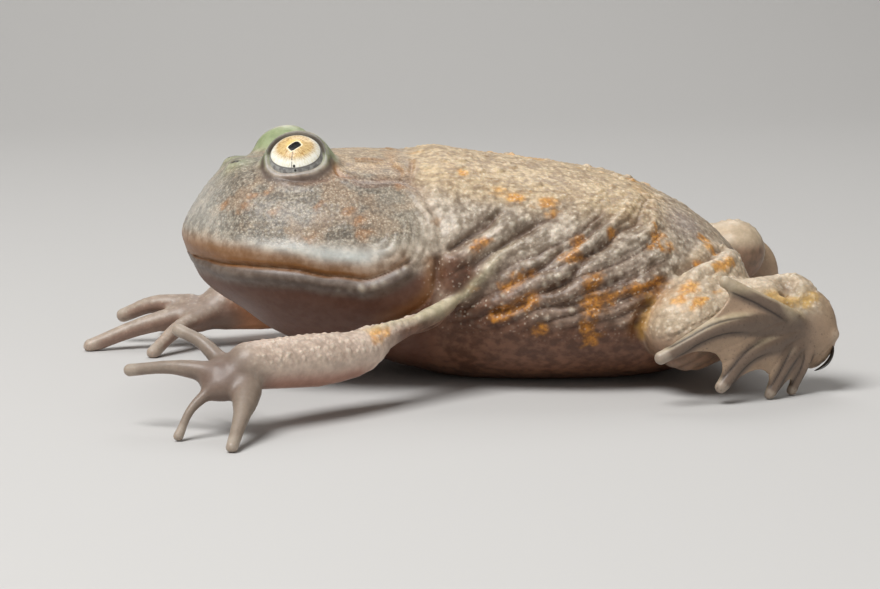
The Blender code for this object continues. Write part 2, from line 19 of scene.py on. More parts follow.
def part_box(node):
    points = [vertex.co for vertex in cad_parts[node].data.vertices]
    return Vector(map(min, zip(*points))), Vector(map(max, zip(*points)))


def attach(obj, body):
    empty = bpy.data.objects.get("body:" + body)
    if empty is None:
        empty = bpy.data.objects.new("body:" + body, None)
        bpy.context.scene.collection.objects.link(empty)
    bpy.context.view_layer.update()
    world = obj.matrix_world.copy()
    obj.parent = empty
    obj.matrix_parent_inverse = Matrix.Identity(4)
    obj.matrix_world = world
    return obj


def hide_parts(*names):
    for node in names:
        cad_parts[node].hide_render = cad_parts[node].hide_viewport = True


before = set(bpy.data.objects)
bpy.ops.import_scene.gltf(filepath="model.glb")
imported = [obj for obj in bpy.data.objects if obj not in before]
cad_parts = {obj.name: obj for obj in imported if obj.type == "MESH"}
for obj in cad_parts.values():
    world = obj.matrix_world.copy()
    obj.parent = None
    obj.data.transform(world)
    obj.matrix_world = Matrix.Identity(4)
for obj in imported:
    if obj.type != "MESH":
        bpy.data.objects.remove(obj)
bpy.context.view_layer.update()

MM = 0.001

# The body from the side and from above. Each row is one cross-section:
# x, half width, top, height of the widest level, bottom.
SECTIONS = (
    (-46.0, 0.0, 22.3, 22.3, 22.3),
    (-45.0, 7.6, 27.4, 22.2, 20.0),
    (-43.0, 12.6, 30.8, 22.1, 17.6),
    (-40.0, 16.8, 34.7, 22.0, 15.2),
    (-36.0, 20.4, 38.1, 21.9, 12.6),
    (-30.0, 23.6, 38.7, 21.8, 8.3),
    (-22.0, 25.8, 39.3, 21.5, 5.0),
    (-14.0, 26.6, 39.4, 21.2, 3.6),
    (-6.0, 26.4, 39.1, 20.0, 1.2),
    (0.0, 26.8, 39.8, 18.0, -0.4),
    (9.0, 28.6, 38.3, 16.0, -1.2),
    (19.0, 30.4, 36.9, 15.0, -1.4),
    (30.0, 30.6, 34.9, 14.0, -1.2),
    (40.0, 26.6, 31.0, 13.6, -0.2),
    (48.0, 19.4, 25.9, 14.4, 3.4),
    (52.6, 11.0, 21.4, 15.8, 8.6),
    (54.8, 0.0, 17.5, 17.5, 17.5),
)
SNOUT_X, RUMP_X = SECTIONS[0][0], SECTIONS[-1][0]
SQUARENESS = 2.25
PROFILE_STEP = 0.05

SOLID_EYE = (-26.2, 10.2, 37.9)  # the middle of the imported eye
EYES = {"left": (-26.2, -10.2, 37.4), "right": (-26.2, 10.2, 37.1)}
EYE_RADIUS = 5.5
EYE_LOOK = (-0.2, 0.635, 0.736)
LID_LOOK = (-0.19, 0.66, 0.70)  # the middle of the lids' opening, a little lower than the pupil
LID_THICKNESS = {"left": 0.65, "right": 0.3}
LID_SHIFTS = {"left": (0, 0, 0.35), "right": (-0.15, 0, 0.25)}
LID_BLEND = 3.0
LID_OPENINGS = {"left": math.radians(55), "right": math.radians(48)}  # half angles, seen from the eye's middle
LOWER_LID = 1.28  # how much closer to the opening's middle the lower lid is
LOWER_LID_SQUARENESS = 2.7
LID_TILT = (-0.12, 0, 1)  # the opening's own upward direction
LID_CORNER = (-0.35, 0.35, 0.1)  # its direction, width and reach behind the opening
LID_EDGE_ROUND = 0.45
SOCKET_DEPTH = 0.6  # how far the skin goes in behind the eyeball's surface
NOSTRIL = (-36.4, 4.2, 37.9)
NOSTRIL_RADII = (0.75, 0.6, 1.3)
NOSTRIL_RIM = 1.3
NOSTRIL_BLEND = 1.6

ARMS = {
    "left": {
        "shoulder": (-0.6, -25.6, 16.8),
        "upper": ((-4.4, -28.0, 14.8), (-8.6, -31.0, 13.4), (-14.6, -34.7, 12.0)),
        "elbow": (-21.3, -38.0, 9.6),
        "wrist": (-38.0, -48.6, 10.4),
        "palm": (-42.4, -50.0, 8.3),
        "palm_up": (0.25, -0.35, 1.0),
        "fingers": (
            ((-41.4, -47.6, 9.8), (-45.0, -43.8, 13.4), (-48.6, -40.5, 15.0)),
            ((-43.2, -49.4, 9.5), (-50.0, -46.8, 10.2), (-56.5, -43.4, 9.3)),
            ((-43.4, -51.0, 7.8), (-47.4, -53.2, 4.8), (-49.6, -54.6, 0.8)),
            ((-38.7, -52.0, 7.0), (-39.9, -57.4, 4.6), (-42.0, -63.8, 0.8)),
        ),
    },
    "right": {
        "shoulder": (-2.0, 24.0, 15.2),
        "upper": ((-9.0, 29.4, 12.2),),
        "elbow": (-19.4, 34.8, 7.6),
        "wrist": (-36.0, 29.8, 7.4),
        "palm": (-41.0, 28.8, 5.8),
        "palm_up": (0.3, 0.1, 1.0),
        "fingers": (
            ((-41.6, 26.4, 5.4), (-46.0, 21.8, 4.2), (-50.4, 17.6, 0.9)),
            ((-43.4, 28.0, 6.2), (-52.8, 27.4, 4.0), (-61.6, 26.4, 0.9)),
            ((-43.0, 30.0, 7.6), (-49.4, 32.0, 7.6), (-55.2, 34.0, 5.3)),
            ((-41.2, 31.4, 6.0), (-44.8, 36.6, 4.8), (-47.6, 42.4, 1.6)),
        ),
    },
}
ARM_RADII = {"left": (0.4, 0.5, 0.65, 0.95, 1.5, 2.25, 3.5, 4.3, 3.8), "right": (3.1, 2.6, 2.3, 2.6, 3.6, 4.7, 5.0, 5.0, 4.6)}
PALM_GIRTHS = {"left": 1.0, "right": 1.2}
ARMPIT_SKIN = ((-18.0, -34.4, 11.4), (-10.0, -29.4, 12.6), (-4.0, -25.0, 13.6))  # behind the left upper arm
ARMPIT_RADII = (1.8, 0.9, 0.9)
PALM_RADII = (3.4, 3.8, 2.5)
FINGER_RADII = {
    "left": (
        (1.7, 1.3, 1.1, 1.0, 1.05),
        (1.8, 1.5, 1.1, 0.95, 1.0),
        (1.3, 0.9, 0.7, 0.62, 0.8),
        (2.3, 2.0, 1.4, 1.05, 0.95),
    ),
    "right": (
        (1.9, 1.6, 1.4, 1.2, 1.2),
        (2.2, 1.9, 1.6, 1.4, 1.3),
        (2.1, 1.8, 1.6, 1.4, 1.3),
        (1.8, 1.4, 1.2, 1.1, 1.1),
    ),
}
ARM_BLEND = 1.9
PALM_BLEND = 2.2
FINGER_BLEND = 1.3

LEGS = {
    "left": {
        "hip": (43.5, -10.0, 14.6),
        "thigh": (42.8, -19.6, 15.0),
        "knee": (37.2, -30.6, 11.4),
        "shin": (38.5, -29.4, 11.2),
        "calf": (47.5, -29.8, 13.2),
        "ankle": (56.2, -27.6, 15.1),
        "heel": (58.1, -31.6, 10.9),
        "spade": (61.0, -33.2, 5.7),
        "toes": (
            ((57.4, -34.0, 6.0), (54.6, -34.8, 0.8)),
            ((54.2, -35.2, 6.6), (50.0, -37.4, 0.8)),
            ((46.8, -38.4, 8.4), (40.8, -40.4, 3.0)),
            ((41.8, -40.0, 13.2), (30.2, -41.6, 8.4)),
            ((51.6, -36.6, 15.2), (41.8, -38.2, 20.2)),
        ),
    },
    "right": {
        "hip": (45.0, 10.0, 15.0),
        "thigh": (46.0, 20.0, 15.4),
        "knee": (42.8, 31.4, 11.8),
        "shin": (44.6, 30.4, 12.0),
        "calf": (54.0, 30.4, 13.8),
        "ankle": (62.0, 28.6, 15.7),
        "heel": (67.0, 32.4, 10.7),
        "spade": (68.3, 34.0, 5.6),
        "toes": (
            ((64.6, 34.8, 6.4), (61.8, 35.6, 0.8)),
            ((61.4, 36.0, 6.8), (57.2, 38.2, 0.8)),
            ((54.6, 39.0, 8.0), (48.4, 41.2, 0.8)),
            ((53.6, 40.2, 12.2), (37.6, 42.4, 7.0)),
            ((58.8, 37.4, 15.2), (49.2, 39.0, 19.6)),
        ),
    },
}
THIGH_RADII = (8.4, 8.8, 7.0)
SHANK_RADII = {"left": (6.6, 6.1, 4.7), "right": (6.4, 6.1, 6.1)}
HEEL_RADII = (5.2, 3.0, 7.0)
HEEL_AXIS = (-0.12, 0.0, 1.0)
TOE_RADII = (1.9, 1.35, 1.05, 0.85, 1.05)
TOE_GIRTHS = (0.75, 0.8, 1.0, 1.05, 1.0)
THIGH_BLEND = 1.6
SHANK_BLEND = 1.8
FOOT_BLEND = (2.4, 0.35)  # at the ankle, and away from it
FOOT_BLEND_REACH = (3.0, 8.0)
TOE_BLEND = 0.9
WEB_THICKNESS = 0.55
WEB_BLEND = 1.4
WEB_ROOT = 0.1
WEB_REACH = 0.93
WEB_DIPS = (0.15, 0.24, 0.2, 0.1)
WEB_RUFFLE = 0.35
WEB_COUNTS = (9, 25)  # points of a web's sheet across and along
WEB_LOOK_AHEAD = 2.0
SPADE_RADII = (2.7, 0.75, 0.24)
SPADE_AXIS = (-0.62, 0.0, -0.78)

FLOOR_ROUND = 0.5
VOXEL = 0.25
COARSE = 4  # fine samples to one coarse one
BAND = 5.6  # how far from the surface fine samples are taken, in fine samples
FAR = 30.0
PROJECTIONS = 2


def monotone(x, knots, values):
    """Smooth curve through the knots that never overshoots them."""
    knots, values = np.asarray(knots, float), np.asarray(values, float)
    step = np.diff(knots)
    slope = np.diff(values) / step
    tangent = np.zeros_like(values)
    same = slope[:-1] * slope[1:] > 0
    weight_a = 2 * step[1:] + step[:-1]
    weight_b = step[1:] + 2 * step[:-1]
    with np.errstate(divide="ignore", invalid="ignore"):
        mean = (weight_a + weight_b) / (weight_a / slope[:-1] + weight_b / slope[1:])
    tangent[1:-1] = np.where(same, mean, 0)
    tangent[0], tangent[-1] = slope[0], slope[-1]
    i = np.clip(np.searchsorted(knots, x) - 1, 0, len(step) - 1)
    t = (x - knots[i]) / step[i]
    return (
        (1 + 2 * t) * (1 - t) ** 2 * values[i]
        + t * (1 - t) ** 2 * step[i] * tangent[i]
        + t**2 * (3 - 2 * t) * values[i + 1]
        + t**2 * (t - 1) * step[i] * tangent[i + 1]
    )


def smoothstep(low, high, value):
    t = np.clip((value - low) / (high - low), 0, 1)
    return t * t * (3 - 2 * t)


def hump(distance, width):
    return np.exp(-((distance / width) ** 2))


def unit(vector):
    vector = np.asarray(vector, float)
    return vector / np.linalg.norm(vector)


def curve_points(knots, count):
    """Points evenly spread along a smooth curve through the knots."""
    knots = np.asarray(knots, float)
    t = np.linspace(0, len(knots) - 1, count)
    padded = np.vstack([2 * knots[0] - knots[1], knots, 2 * knots[-1] - knots[-2]])
    i = np.clip(t.astype(int), 0, len(knots) - 2)
    f = (t - i)[:, None]
    a, b, c, d = padded[i], padded[i + 1], padded[i + 2], padded[i + 3]
    return 0.5 * (
        2 * b + (c - a) * f + (2 * a - 5 * b + 4 * c - d) * f**2 + (3 * b - a - 3 * c + d) * f**3
    )


def on_side(point, side):
    """A point written for the right side, placed on the given side."""
    x, y, z = point
    return np.array((x, -y if side == "left" else y, z))


def soft_min(a, b, blend):
    """The smaller of two distances, with a fillet about as wide as blend."""
    h = np.maximum(blend - np.abs(a - b), 0) / blend
    return np.minimum(a, b) - h * h * blend * 0.25


def soft_max(a, b, blend):
    return -soft_min(-a, -b, blend)


def length(vectors):
    return np.sqrt(np.einsum("ij,ij->i", vectors, vectors))


class Form:
    """One part of the distance field, with the box outside which it has no effect."""

    def __init__(self, low, high, distance):
        self.low, self.high, self.distance = np.asarray(low), np.asarray(high), distance

    def near(self, points, margin):
        inside = np.all((points > self.low - margin) & (points < self.high + margin), axis=1)
        return np.flatnonzero(inside)


def union(forms, blends):
    """Forms blended into one, each by its own width."""
    low = np.min([form.low for form in forms], axis=0)
    high = np.max([form.high for form in forms], axis=0)

    def distance(points):
        found = np.full(len(points), FAR, np.float32)
        for form, blend in zip(forms, blends):
            near = form.near(points, blend + WEB_LOOK_AHEAD)
            if len(near):
                found[near] = soft_min(found[near], form.distance(points[near]), blend)
        return found

    return Form(low, high, distance)


def profile_tables():
    """The body's squared half width, its flatness above and below the widest level, and that level,
    tabulated along x. The squared half width goes on falling past both tips."""
    knots, half, top, level, bottom = np.array(SECTIONS).T
    x = np.arange(SNOUT_X - 8, RUMP_X + 8, PROFILE_STEP)
    held = np.clip(x, SNOUT_X + PROFILE_STEP, RUMP_X - PROFILE_STEP)
    squares = [monotone(held, knots, v**2) for v in (half, top - level, level - bottom)]
    slope = [monotone(at, knots, half**2) / PROFILE_STEP for at in (held[:1], held[-1:])]
    flat_above = np.sqrt(squares[0] / squares[1])
    flat_below = np.sqrt(squares[0] / squares[2])
    middle = monotone(held, knots, level)
    width = squares[0] + slope[0] * np.minimum(x - held, 0) - slope[1] * np.maximum(x - held, 0)
    return x, (width, flat_above, flat_below, middle)


PROFILE_X, PROFILE = profile_tables()
PROFILE_SLOPES = [np.gradient(v, PROFILE_STEP) for v in PROFILE]


def body_distance(points):
    """Distance to the trunk and head, from the implicit form of their superellipse sections."""
    x, y, z = points.T
    width, above, below, middle = (np.interp(x, PROFILE_X, v) for v in PROFILE)
    d_width, d_above, d_below, d_middle = (np.interp(x, PROFILE_X, v) for v in PROFILE_SLOPES)
    height = z - middle
    upper = height >= 0
    flat = np.where(upper, above, below)
    d_flat = np.where(upper, d_above, d_below)
    n = SQUARENESS
    across = np.abs(y) + 1e-4
    up = np.abs(height) * flat + 1e-4
    total = across**n + up**n
    share = total ** (2 / n - 1)
    level = total ** (2 / n) - width
    by_across = 2 * share * across ** (n - 1)
    by_up = 2 * share * up ** (n - 1)
    by_x = by_up * (np.abs(height) * d_flat - np.sign(height) * d_middle * flat) - d_width
    steep = np.sqrt(by_across**2 + (by_up * flat) ** 2 + by_x**2)
    return level / (steep / 2 + np.sqrt(np.maximum(steep**2 / 4 - level, 0)) + 1e-3)


def body_form():
    low = (SNOUT_X, -max(row[1] for row in SECTIONS), min(row[4] for row in SECTIONS))
    high = (RUMP_X, max(row[1] for row in SECTIONS), max(row[2] for row in SECTIONS))
    return Form(low, high, body_distance)


def segment_nearest(points, start, end):
    """Where along a segment each point's nearest place is, 0 to 1, and the distance to it."""
    way = end - start
    offset = points - start
    t = np.clip(offset @ way / (way @ way), 0, 1)
    return t, length(offset - t[:, None] * way)


def tube(knots, radii, steps):
    """A round limb along a smooth curve, its radius running through the given ones."""
    centres = curve_points(knots, steps + 1).astype(np.float32)
    sizes = np.interp(np.linspace(0, 1, steps + 1), np.linspace(0, 1, len(radii)), radii)

    def distance(points):
        found = np.full(len(points), FAR, np.float32)
        for i in range(steps):
            t, away = segment_nearest(points, centres[i], centres[i + 1])
            found = np.minimum(found, away - sizes[i] - t * (sizes[i + 1] - sizes[i]))
        return found

    reach = max(radii)
    return Form(centres.min(axis=0) - reach, centres.max(axis=0) + reach, distance)


def ellipsoid(centre, radii, turn=np.eye(3)):
    """An ellipsoid; the columns of turn are its axes."""
    centre, radii = np.asarray(centre, np.float32), np.asarray(radii, np.float32)
    turn = np.asarray(turn, np.float32)

    def distance(points):
        local = (points - centre) @ turn
        near = length(local / radii)
        return near * (near - 1) / np.maximum(length(local / radii**2), 1e-6)

    reach = max(radii)
    return Form(centre - reach, centre + reach, distance)


def axes_of(forward, up):
    """A rotation matrix: the first column along forward, the last as near to up as it can be."""
    forward, up = unit(forward), unit(up)
    up = unit(up - forward * (up @ forward))
    return np.stack([forward, np.cross(up, forward), up], axis=1)


def web_sheet(first, second, dip, sign):
    """The middle sheet of the skin between two toes, as a grid of points, a little ruffled."""
    across, along = WEB_COUNTS
    steps = 80
    start, end = curve_points(first, steps), curve_points(second, steps)
    sheet = np.empty((across, along, 3))
    for j, u in enumerate(np.linspace(0, 1, across)):
        reach = WEB_REACH - dip * 4 * u * (1 - u)
        at = np.linspace(WEB_ROOT, reach, along) * (steps - 1)
        a = np.stack([np.interp(at, np.arange(steps), start[:, k]) for k in range(3)], axis=1)
        b = np.stack([np.interp(at, np.arange(steps), end[:, k]) for k in range(3)], axis=1)
        sheet[j] = a + (b - a) * u
    normal = np.cross(np.gradient(sheet, axis=1), np.gradient(sheet, axis=0))
    normal /= np.linalg.norm(normal, axis=-1, keepdims=True)
    u = np.linspace(0, 1, across)[:, None]
    v = np.linspace(0, 1, along)[None, :]
    sag = WEB_RUFFLE * np.sin(math.pi * u) * v * (1 + 0.8 * np.sin(9 * v + 5 * u))
    return sheet + sign * normal * sag[..., None]


def sheet_form(sheet, thickness):
    """A thin curved sheet of even thickness."""
    rows, columns = sheet.shape[:2]
    corners = [Vector(p) for p in sheet.reshape(-1, 3)]
    faces = []
    for j in range(rows - 1):
        for i in range(columns - 1):
            a = j * columns + i
            faces += [(a, a + 1, a + columns + 1), (a, a + columns + 1, a + columns)]
    tree = BVHTree.FromPolygons(corners, faces)

    def distance(points):
        found = np.empty(len(points), np.float32)
        for i, point in enumerate(points.tolist()):
            away = tree.find_nearest(point, WEB_LOOK_AHEAD + thickness)[3]
            found[i] = WEB_LOOK_AHEAD if away is None else away - thickness / 2
        return found

    flat = sheet.reshape(-1, 3)
    return Form(flat.min(axis=0) - thickness, flat.max(axis=0) + thickness, distance)


def arm_form(side):
    arm = ARMS[side]
    knots = [arm["shoulder"], *arm["upper"], arm["elbow"], arm["wrist"]]
    path = tube(knots, ARM_RADII[side], 24)
    turn = axes_of(np.subtract(arm["palm"], arm["wrist"]), arm["palm_up"])
    forms = [path, ellipsoid(arm["palm"], np.multiply(PALM_RADII, PALM_GIRTHS[side]), turn)]
    forms += [tube(knots, radii, 10) for knots, radii in zip(arm["fingers"], FINGER_RADII[side])]
    blends = [ARM_BLEND, PALM_BLEND] + [FINGER_BLEND] * len(arm["fingers"])
    if side == "left":
        forms.append(tube(ARMPIT_SKIN, ARMPIT_RADII, 8))
        blends.append(ARM_BLEND)
    return union(forms, blends)


def leg_form(side):
    leg = LEGS[side]
    thigh = tube([leg["hip"], leg["thigh"], leg["knee"]], THIGH_RADII, 10)
    shank = tube([leg["shin"], leg["calf"], leg["ankle"]], SHANK_RADII[side], 10)
    return union([thigh, shank], [THIGH_BLEND, SHANK_BLEND])


def foot_form(side):
    leg = LEGS[side]
    turn = axes_of((0, 1, 0), HEEL_AXIS)
    radii = (HEEL_RADII[1], HEEL_RADII[0], HEEL_RADII[2])
    toes = [[leg["heel"], *toe] for toe in leg["toes"]]
    forms = [ellipsoid(leg["heel"], radii, turn)]
    forms += [tube(knots, np.multiply(TOE_RADII, girth), 12) for knots, girth in zip(toes, TOE_GIRTHS)]
    sign = -1 if side == "left" else 1
    webs = [web_sheet(*pair, sign) for pair in zip(toes, toes[1:], WEB_DIPS)]
    forms += [sheet_form(sheet, WEB_THICKNESS) for sheet in webs]
    return union(forms, [TOE_BLEND] * (1 + len(toes)) + [WEB_BLEND] * len(webs))


def eye_opening(points, side):
    """Negative where the lids are open: in a cone round the way the eye looks, outside its socket."""
    offset = points - np.array(EYES[side])
    along, across, up = (offset @ axis for axis in axes_of(on_side(LID_LOOK, side), LID_TILT).T)
    behind = across if side == "left" else -across
    lower = up < 0
    power = np.where(lower, LOWER_LID_SQUARENESS, 2)
    aside = (np.abs(across) ** power + np.abs(up * np.where(lower, LOWER_LID, 1)) ** power) ** (1 / power)
    angle, width, reach = LID_CORNER
    aside = aside * (1 - reach * hump(np.arctan2(up, behind) - angle, width))
    cone = aside * math.cos(LID_OPENINGS[side]) - along * math.sin(LID_OPENINGS[side])
    return soft_max(cone, EYE_RADIUS - SOCKET_DEPTH - length(offset), 0.3)


BODY = body_form()
LIDS = {s: ellipsoid(np.add(EYES[s], LID_SHIFTS[s]), [EYE_RADIUS + LID_THICKNESS[s]] * 3) for s in ARMS}
RIMS = {s: ellipsoid(on_side(NOSTRIL, s) - (0, 0, NOSTRIL_RIM), [NOSTRIL_RIM] * 3) for s in ARMS}
PITS = {s: ellipsoid(on_side(NOSTRIL, s) + (0, 0, 0.2), NOSTRIL_RADII) for s in ARMS}
ARM_FORMS = {side: arm_form(side) for side in ARMS}
LEG_FORMS = {side: leg_form(side) for side in ARMS}
FOOT_FORMS = {side: foot_form(side) for side in ARMS}


def blend_in(found, points, form, blend):
    """Adds a form to the distances found so far, only where it is near."""
    widest = np.max(blend)
    near = form.near(points, widest + WEB_LOOK_AHEAD)
    if len(near):
        width = blend[near] if np.ndim(blend) else blend
        found[near] = soft_min(found[near], form.distance(points[near]), width)


def skin_distance(points):
    """Signed distance to the frog's skin, before its fine relief."""
    points = points.astype(np.float32)
    found = body_distance(points).astype(np.float32)
    for side in ARMS:
        blend_in(found, points, LIDS[side], LID_BLEND)
        blend_in(found, points, RIMS[side], NOSTRIL_BLEND)
        near = LIDS[side].near(points, 2.0)
        opening = eye_opening(points[near], side)
        found[near] = soft_max(found[near], -opening, LID_EDGE_ROUND)
        near = PITS[side].near(points, 1.0)
        found[near] = soft_max(found[near], -PITS[side].distance(points[near]), 0.3)
        blend_in(found, points, ARM_FORMS[side], ARM_BLEND)
        blend_in(found, points, LEG_FORMS[side], THIGH_BLEND)
        ankle = length(points - np.array(LEGS[side]["ankle"], np.float32))
        at_ankle = 1 - smoothstep(*FOOT_BLEND_REACH, ankle)
        foot_blend = FOOT_BLEND[1] + (FOOT_BLEND[0] - FOOT_BLEND[1]) * at_ankle
        blend_in(found, points, FOOT_FORMS[side], foot_blend)
    return soft_max(found, -points[:, 2], FLOOR_ROUND)


def skin_gradient(points, step=0.05):
    """How the skin's field changes along each axis."""
    slopes = [
        skin_distance(points + offset) - skin_distance(points - offset)
        for offset in np.eye(3) * step
    ]
    return np.stack(slopes, axis=1).astype(float) / (2 * step)


def sampled_field():
    """The field on a regular grid: exact near the skin, coarse elsewhere."""
    forms = [BODY, *LIDS.values(), *ARM_FORMS.values(), *LEG_FORMS.values(), *FOOT_FORMS.values()]
    low = np.min([form.low for form in forms], axis=0) - 3 * COARSE * VOXEL
    high = np.max([form.high for form in forms], axis=0) + 3 * COARSE * VOXEL
    low[2] = -2 * COARSE * VOXEL
    step = VOXEL * COARSE
    counts = np.ceil((high - low) / step).astype(int)
    coarse_axes = [low[k] + (np.arange(counts[k]) + 0.5) * step for k in range(3)]
    lattice = np.stack(np.meshgrid(*coarse_axes, indexing="ij"), axis=-1).reshape(-1, 3)
    coarse = skin_distance(lattice).reshape(counts)
    fine = coarse.repeat(COARSE, 0).repeat(COARSE, 1).repeat(COARSE, 2)
    wanted = np.argwhere(np.abs(fine) < BAND * VOXEL)
    origin = low + 0.5 * VOXEL
    fine[tuple(wanted.T)] = skin_distance(origin + wanted * VOXEL)
    return fine, origin


def surface_net(values, origin):
    """Vertices and quads of the surface where the sampled field is zero."""
    inside = values < 0
    corners = list(itertools.product((0, 1), repeat=3))
    size = np.array(values.shape) - 1

    def corner_view(array, corner):
        return array[tuple(slice(c, c + n) for c, n in zip(corner, size))]

    count = sum(corner_view(inside, corner).astype(np.uint8) for corner in corners)
    active = (count > 0) & (count < 8)
    cells = np.argwhere(active)
    index = np.full(active.shape, -1, np.int32)
    index[active] = np.arange(len(cells))
    at_corner = {corner: corner_view(values, corner)[active] for corner in corners}
    total = np.zeros((len(cells), 3))
    crossings = np.zeros(len(cells))
    for a, b in itertools.combinations(corners, 2):
        if sum(abs(i - j) for i, j in zip(a, b)) != 1:
            continue
        crossed = (at_corner[a] < 0) != (at_corner[b] < 0)
        start, end = at_corner[a][crossed], at_corner[b][crossed]
        t = (start / (start - end))[:, None]
        total[crossed] += np.array(a) + t * (np.array(b) - np.array(a))
        crossings[crossed] += 1
    points = origin + VOXEL * (cells + total / crossings[:, None])
    quads = []
    for axis in range(3):
        first, second = (k for k in range(3) if k != axis)
        ahead = np.moveaxis(inside, axis, 0)
        change = np.moveaxis(ahead[:-1] != ahead[1:], 0, axis)
        place = np.argwhere(change)
        place = place[(place[:, first] > 0) & (place[:, second] > 0)]
        one, other = np.eye(3, dtype=int)[[first, second]]
        around = [place, place - one, place - one - other, place - other]
        quad = np.stack([index[tuple(p.T)] for p in around], axis=1)
        outward = inside[tuple(place.T)] != (axis == 1)
        quad[outward] = quad[outward][:, ::-1]
        quads.append(quad)
    return points, np.vstack(quads)


def settle(points):
    """Moves the vertices onto the exact skin."""
    for _ in range(PROJECTIONS):
        gradient = skin_gradient(points)
        steep = np.maximum((gradient**2).sum(axis=1), 0.3)
        points = points - gradient * (skin_distance(points) / steep)[:, None]
    return points


def place_of_frame():
    """Millimetres to add to the frog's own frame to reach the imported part's frame."""
    low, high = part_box("eye_left")
    return (np.array(low) + np.array(high)) / 2 / MM - on_side(SOLID_EYE, "left")


SHIFT = place_of_frame()


def mesh_piece(name, points, faces, closed=False):
    """An object from points in the frog's own millimetres; closed seals its first and last rings."""
    mesh = bpy.data.meshes.new(name)
    mesh.vertices.add(len(points))
    mesh.vertices.foreach_set("co", ((points + SHIFT) * MM).astype(np.float32).ravel())
    mesh.loops.add(faces.size)
    mesh.loops.foreach_set("vertex_index", faces.astype(np.int32).ravel())
    mesh.polygons.add(len(faces))
    mesh.polygons.foreach_set("loop_start", np.arange(0, faces.size, faces.shape[1], dtype=np.int32))
    mesh.update(calc_edges=True)
    if closed:
        shape = bmesh.new()
        shape.from_mesh(mesh)
        bmesh.ops.holes_fill(shape, edges=[edge for edge in shape.edges if edge.is_boundary])
        bmesh.ops.recalc_face_normals(shape, faces=shape.faces)
        shape.to_mesh(mesh)
        shape.free()
    mesh.shade_smooth()
    piece = bpy.data.objects.new(name, mesh)
    bpy.context.scene.collection.objects.link(piece)
    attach(piece, "root")
    return piece


def random_of(cells, seed):
    """A repeatable random number from 0 to 1 for each row of whole numbers."""
    x, y, z = (cells[:, k].astype(np.int64).astype(np.uint32) for k in range(3))
    mixed = x * np.uint32(0x9E3779B1) ^ y * np.uint32(0x85EBCA77) ^ z * np.uint32(0xC2B2AE3D)
    mixed = mixed + np.uint32(seed * 0x27D4EB2F & 0xFFFFFFFF)
    for shift, factor in ((15, 0x2C1B3C6D), (12, 0x297A2D39), (15, 1)):
        mixed ^= mixed >> np.uint32(shift)
        mixed *= np.uint32(factor)
    return mixed / 2.0**32


def noise(points, size, seed):
    """Smooth noise from -1 to 1 with waves about as long as size."""
    scaled = points / size
    cell = np.floor(scaled)
    f = scaled - cell
    f = f * f * (3 - 2 * f)
    total = np.zeros(len(points))
    for corner in itertools.product((0, 1), repeat=3):
        weight = np.prod(np.where(corner, f, 1 - f), axis=1)
        total += weight * random_of(cell + corner, seed)
    return 2 * total - 1


def fractal(points, size, seed, octaves=3):
    """Noise with finer and fainter noise on it, about -1 to 1."""
    total = sum(noise(points, size / 2**k, seed + k) / 2**k for k in range(octaves))
    return total / sum(1 / 2**k for k in range(octaves))


def domes(points, spacing, seed, size=0.5, share=1.0):
    """Round bumps of mixed size, 0 to 1 high, one to a cell of space; share is how many cells have one."""
    scaled = points / spacing
    base = np.floor(scaled - 0.5)
    highest = np.zeros(len(points))
    for corner in itertools.product((0, 1), repeat=3):
        cell = base + corner
        drift = np.stack([random_of(cell, seed + k) for k in range(3)], axis=1)
        away = length(scaled - cell - 0.25 - 0.5 * drift)
        reach = size * (0.6 + 0.4 * random_of(cell, seed + 3))
        dome = np.maximum(1 - (away / reach) ** 2, 0) ** 1.5 * reach / size
        dome[random_of(cell, seed + 4) > share] = 0
        highest = np.maximum(highest, dome)
    return highest


class Line:
    """A smooth line drawn on the skin of the left side, and where each point lies by it."""

    def __init__(self, points, knots, reach):
        steps = 10 * (len(knots) - 1)
        path = curve_points(knots, steps + 1)
        low, high = path.min(axis=0) - reach, path.max(axis=0) + reach
        self.size = len(points)
        self.at = np.flatnonzero(np.all((points > low) & (points < high), axis=1))
        near = points[self.at]
        self.away = np.full(len(near), FAR)
        self.along = np.zeros(len(near))
        self.above = np.zeros(len(near))
        for i in range(steps):
            way = path[i + 1] - path[i]
            t, away = segment_nearest(near, path[i], path[i + 1])
            closer = away < self.away
            offset = near[closer] - path[i]
            self.away[closer] = away[closer]
            self.along[closer] = (i + t[closer]) / steps
            self.above[closer] = np.sign(way[0] * offset[:, 2] - way[2] * offset[:, 0])
        self.above *= self.away

    def faded(self, start=0.12, end=0.12):
        """1 along the line, falling to 0 at its two ends."""
        rise = smoothstep(0, start, self.along) if start else 1
        fall = 1 - smoothstep(1 - end, 1, self.along) if end else 1
        return rise * fall

    def spread(self, values):
        """The values as an array for all the points, 0 away from the line."""
        found = np.zeros(self.size)
        found[self.at] = values
        return found


MOUTH = (
    (-46.1, -1.5, 21.7), (-45.0, -7.7, 21.9), (-40.7, -16.0, 22.3), (-33.4, -22.0, 22.1),
    (-27.2, -24.6, 21.7), (-22.3, -25.8, 21.0), (-17.2, -26.4, 20.5), (-14.3, -26.6, 21.1),
    (-11.1, -26.5, 22.5), (-7.9, -26.2, 23.8),
)
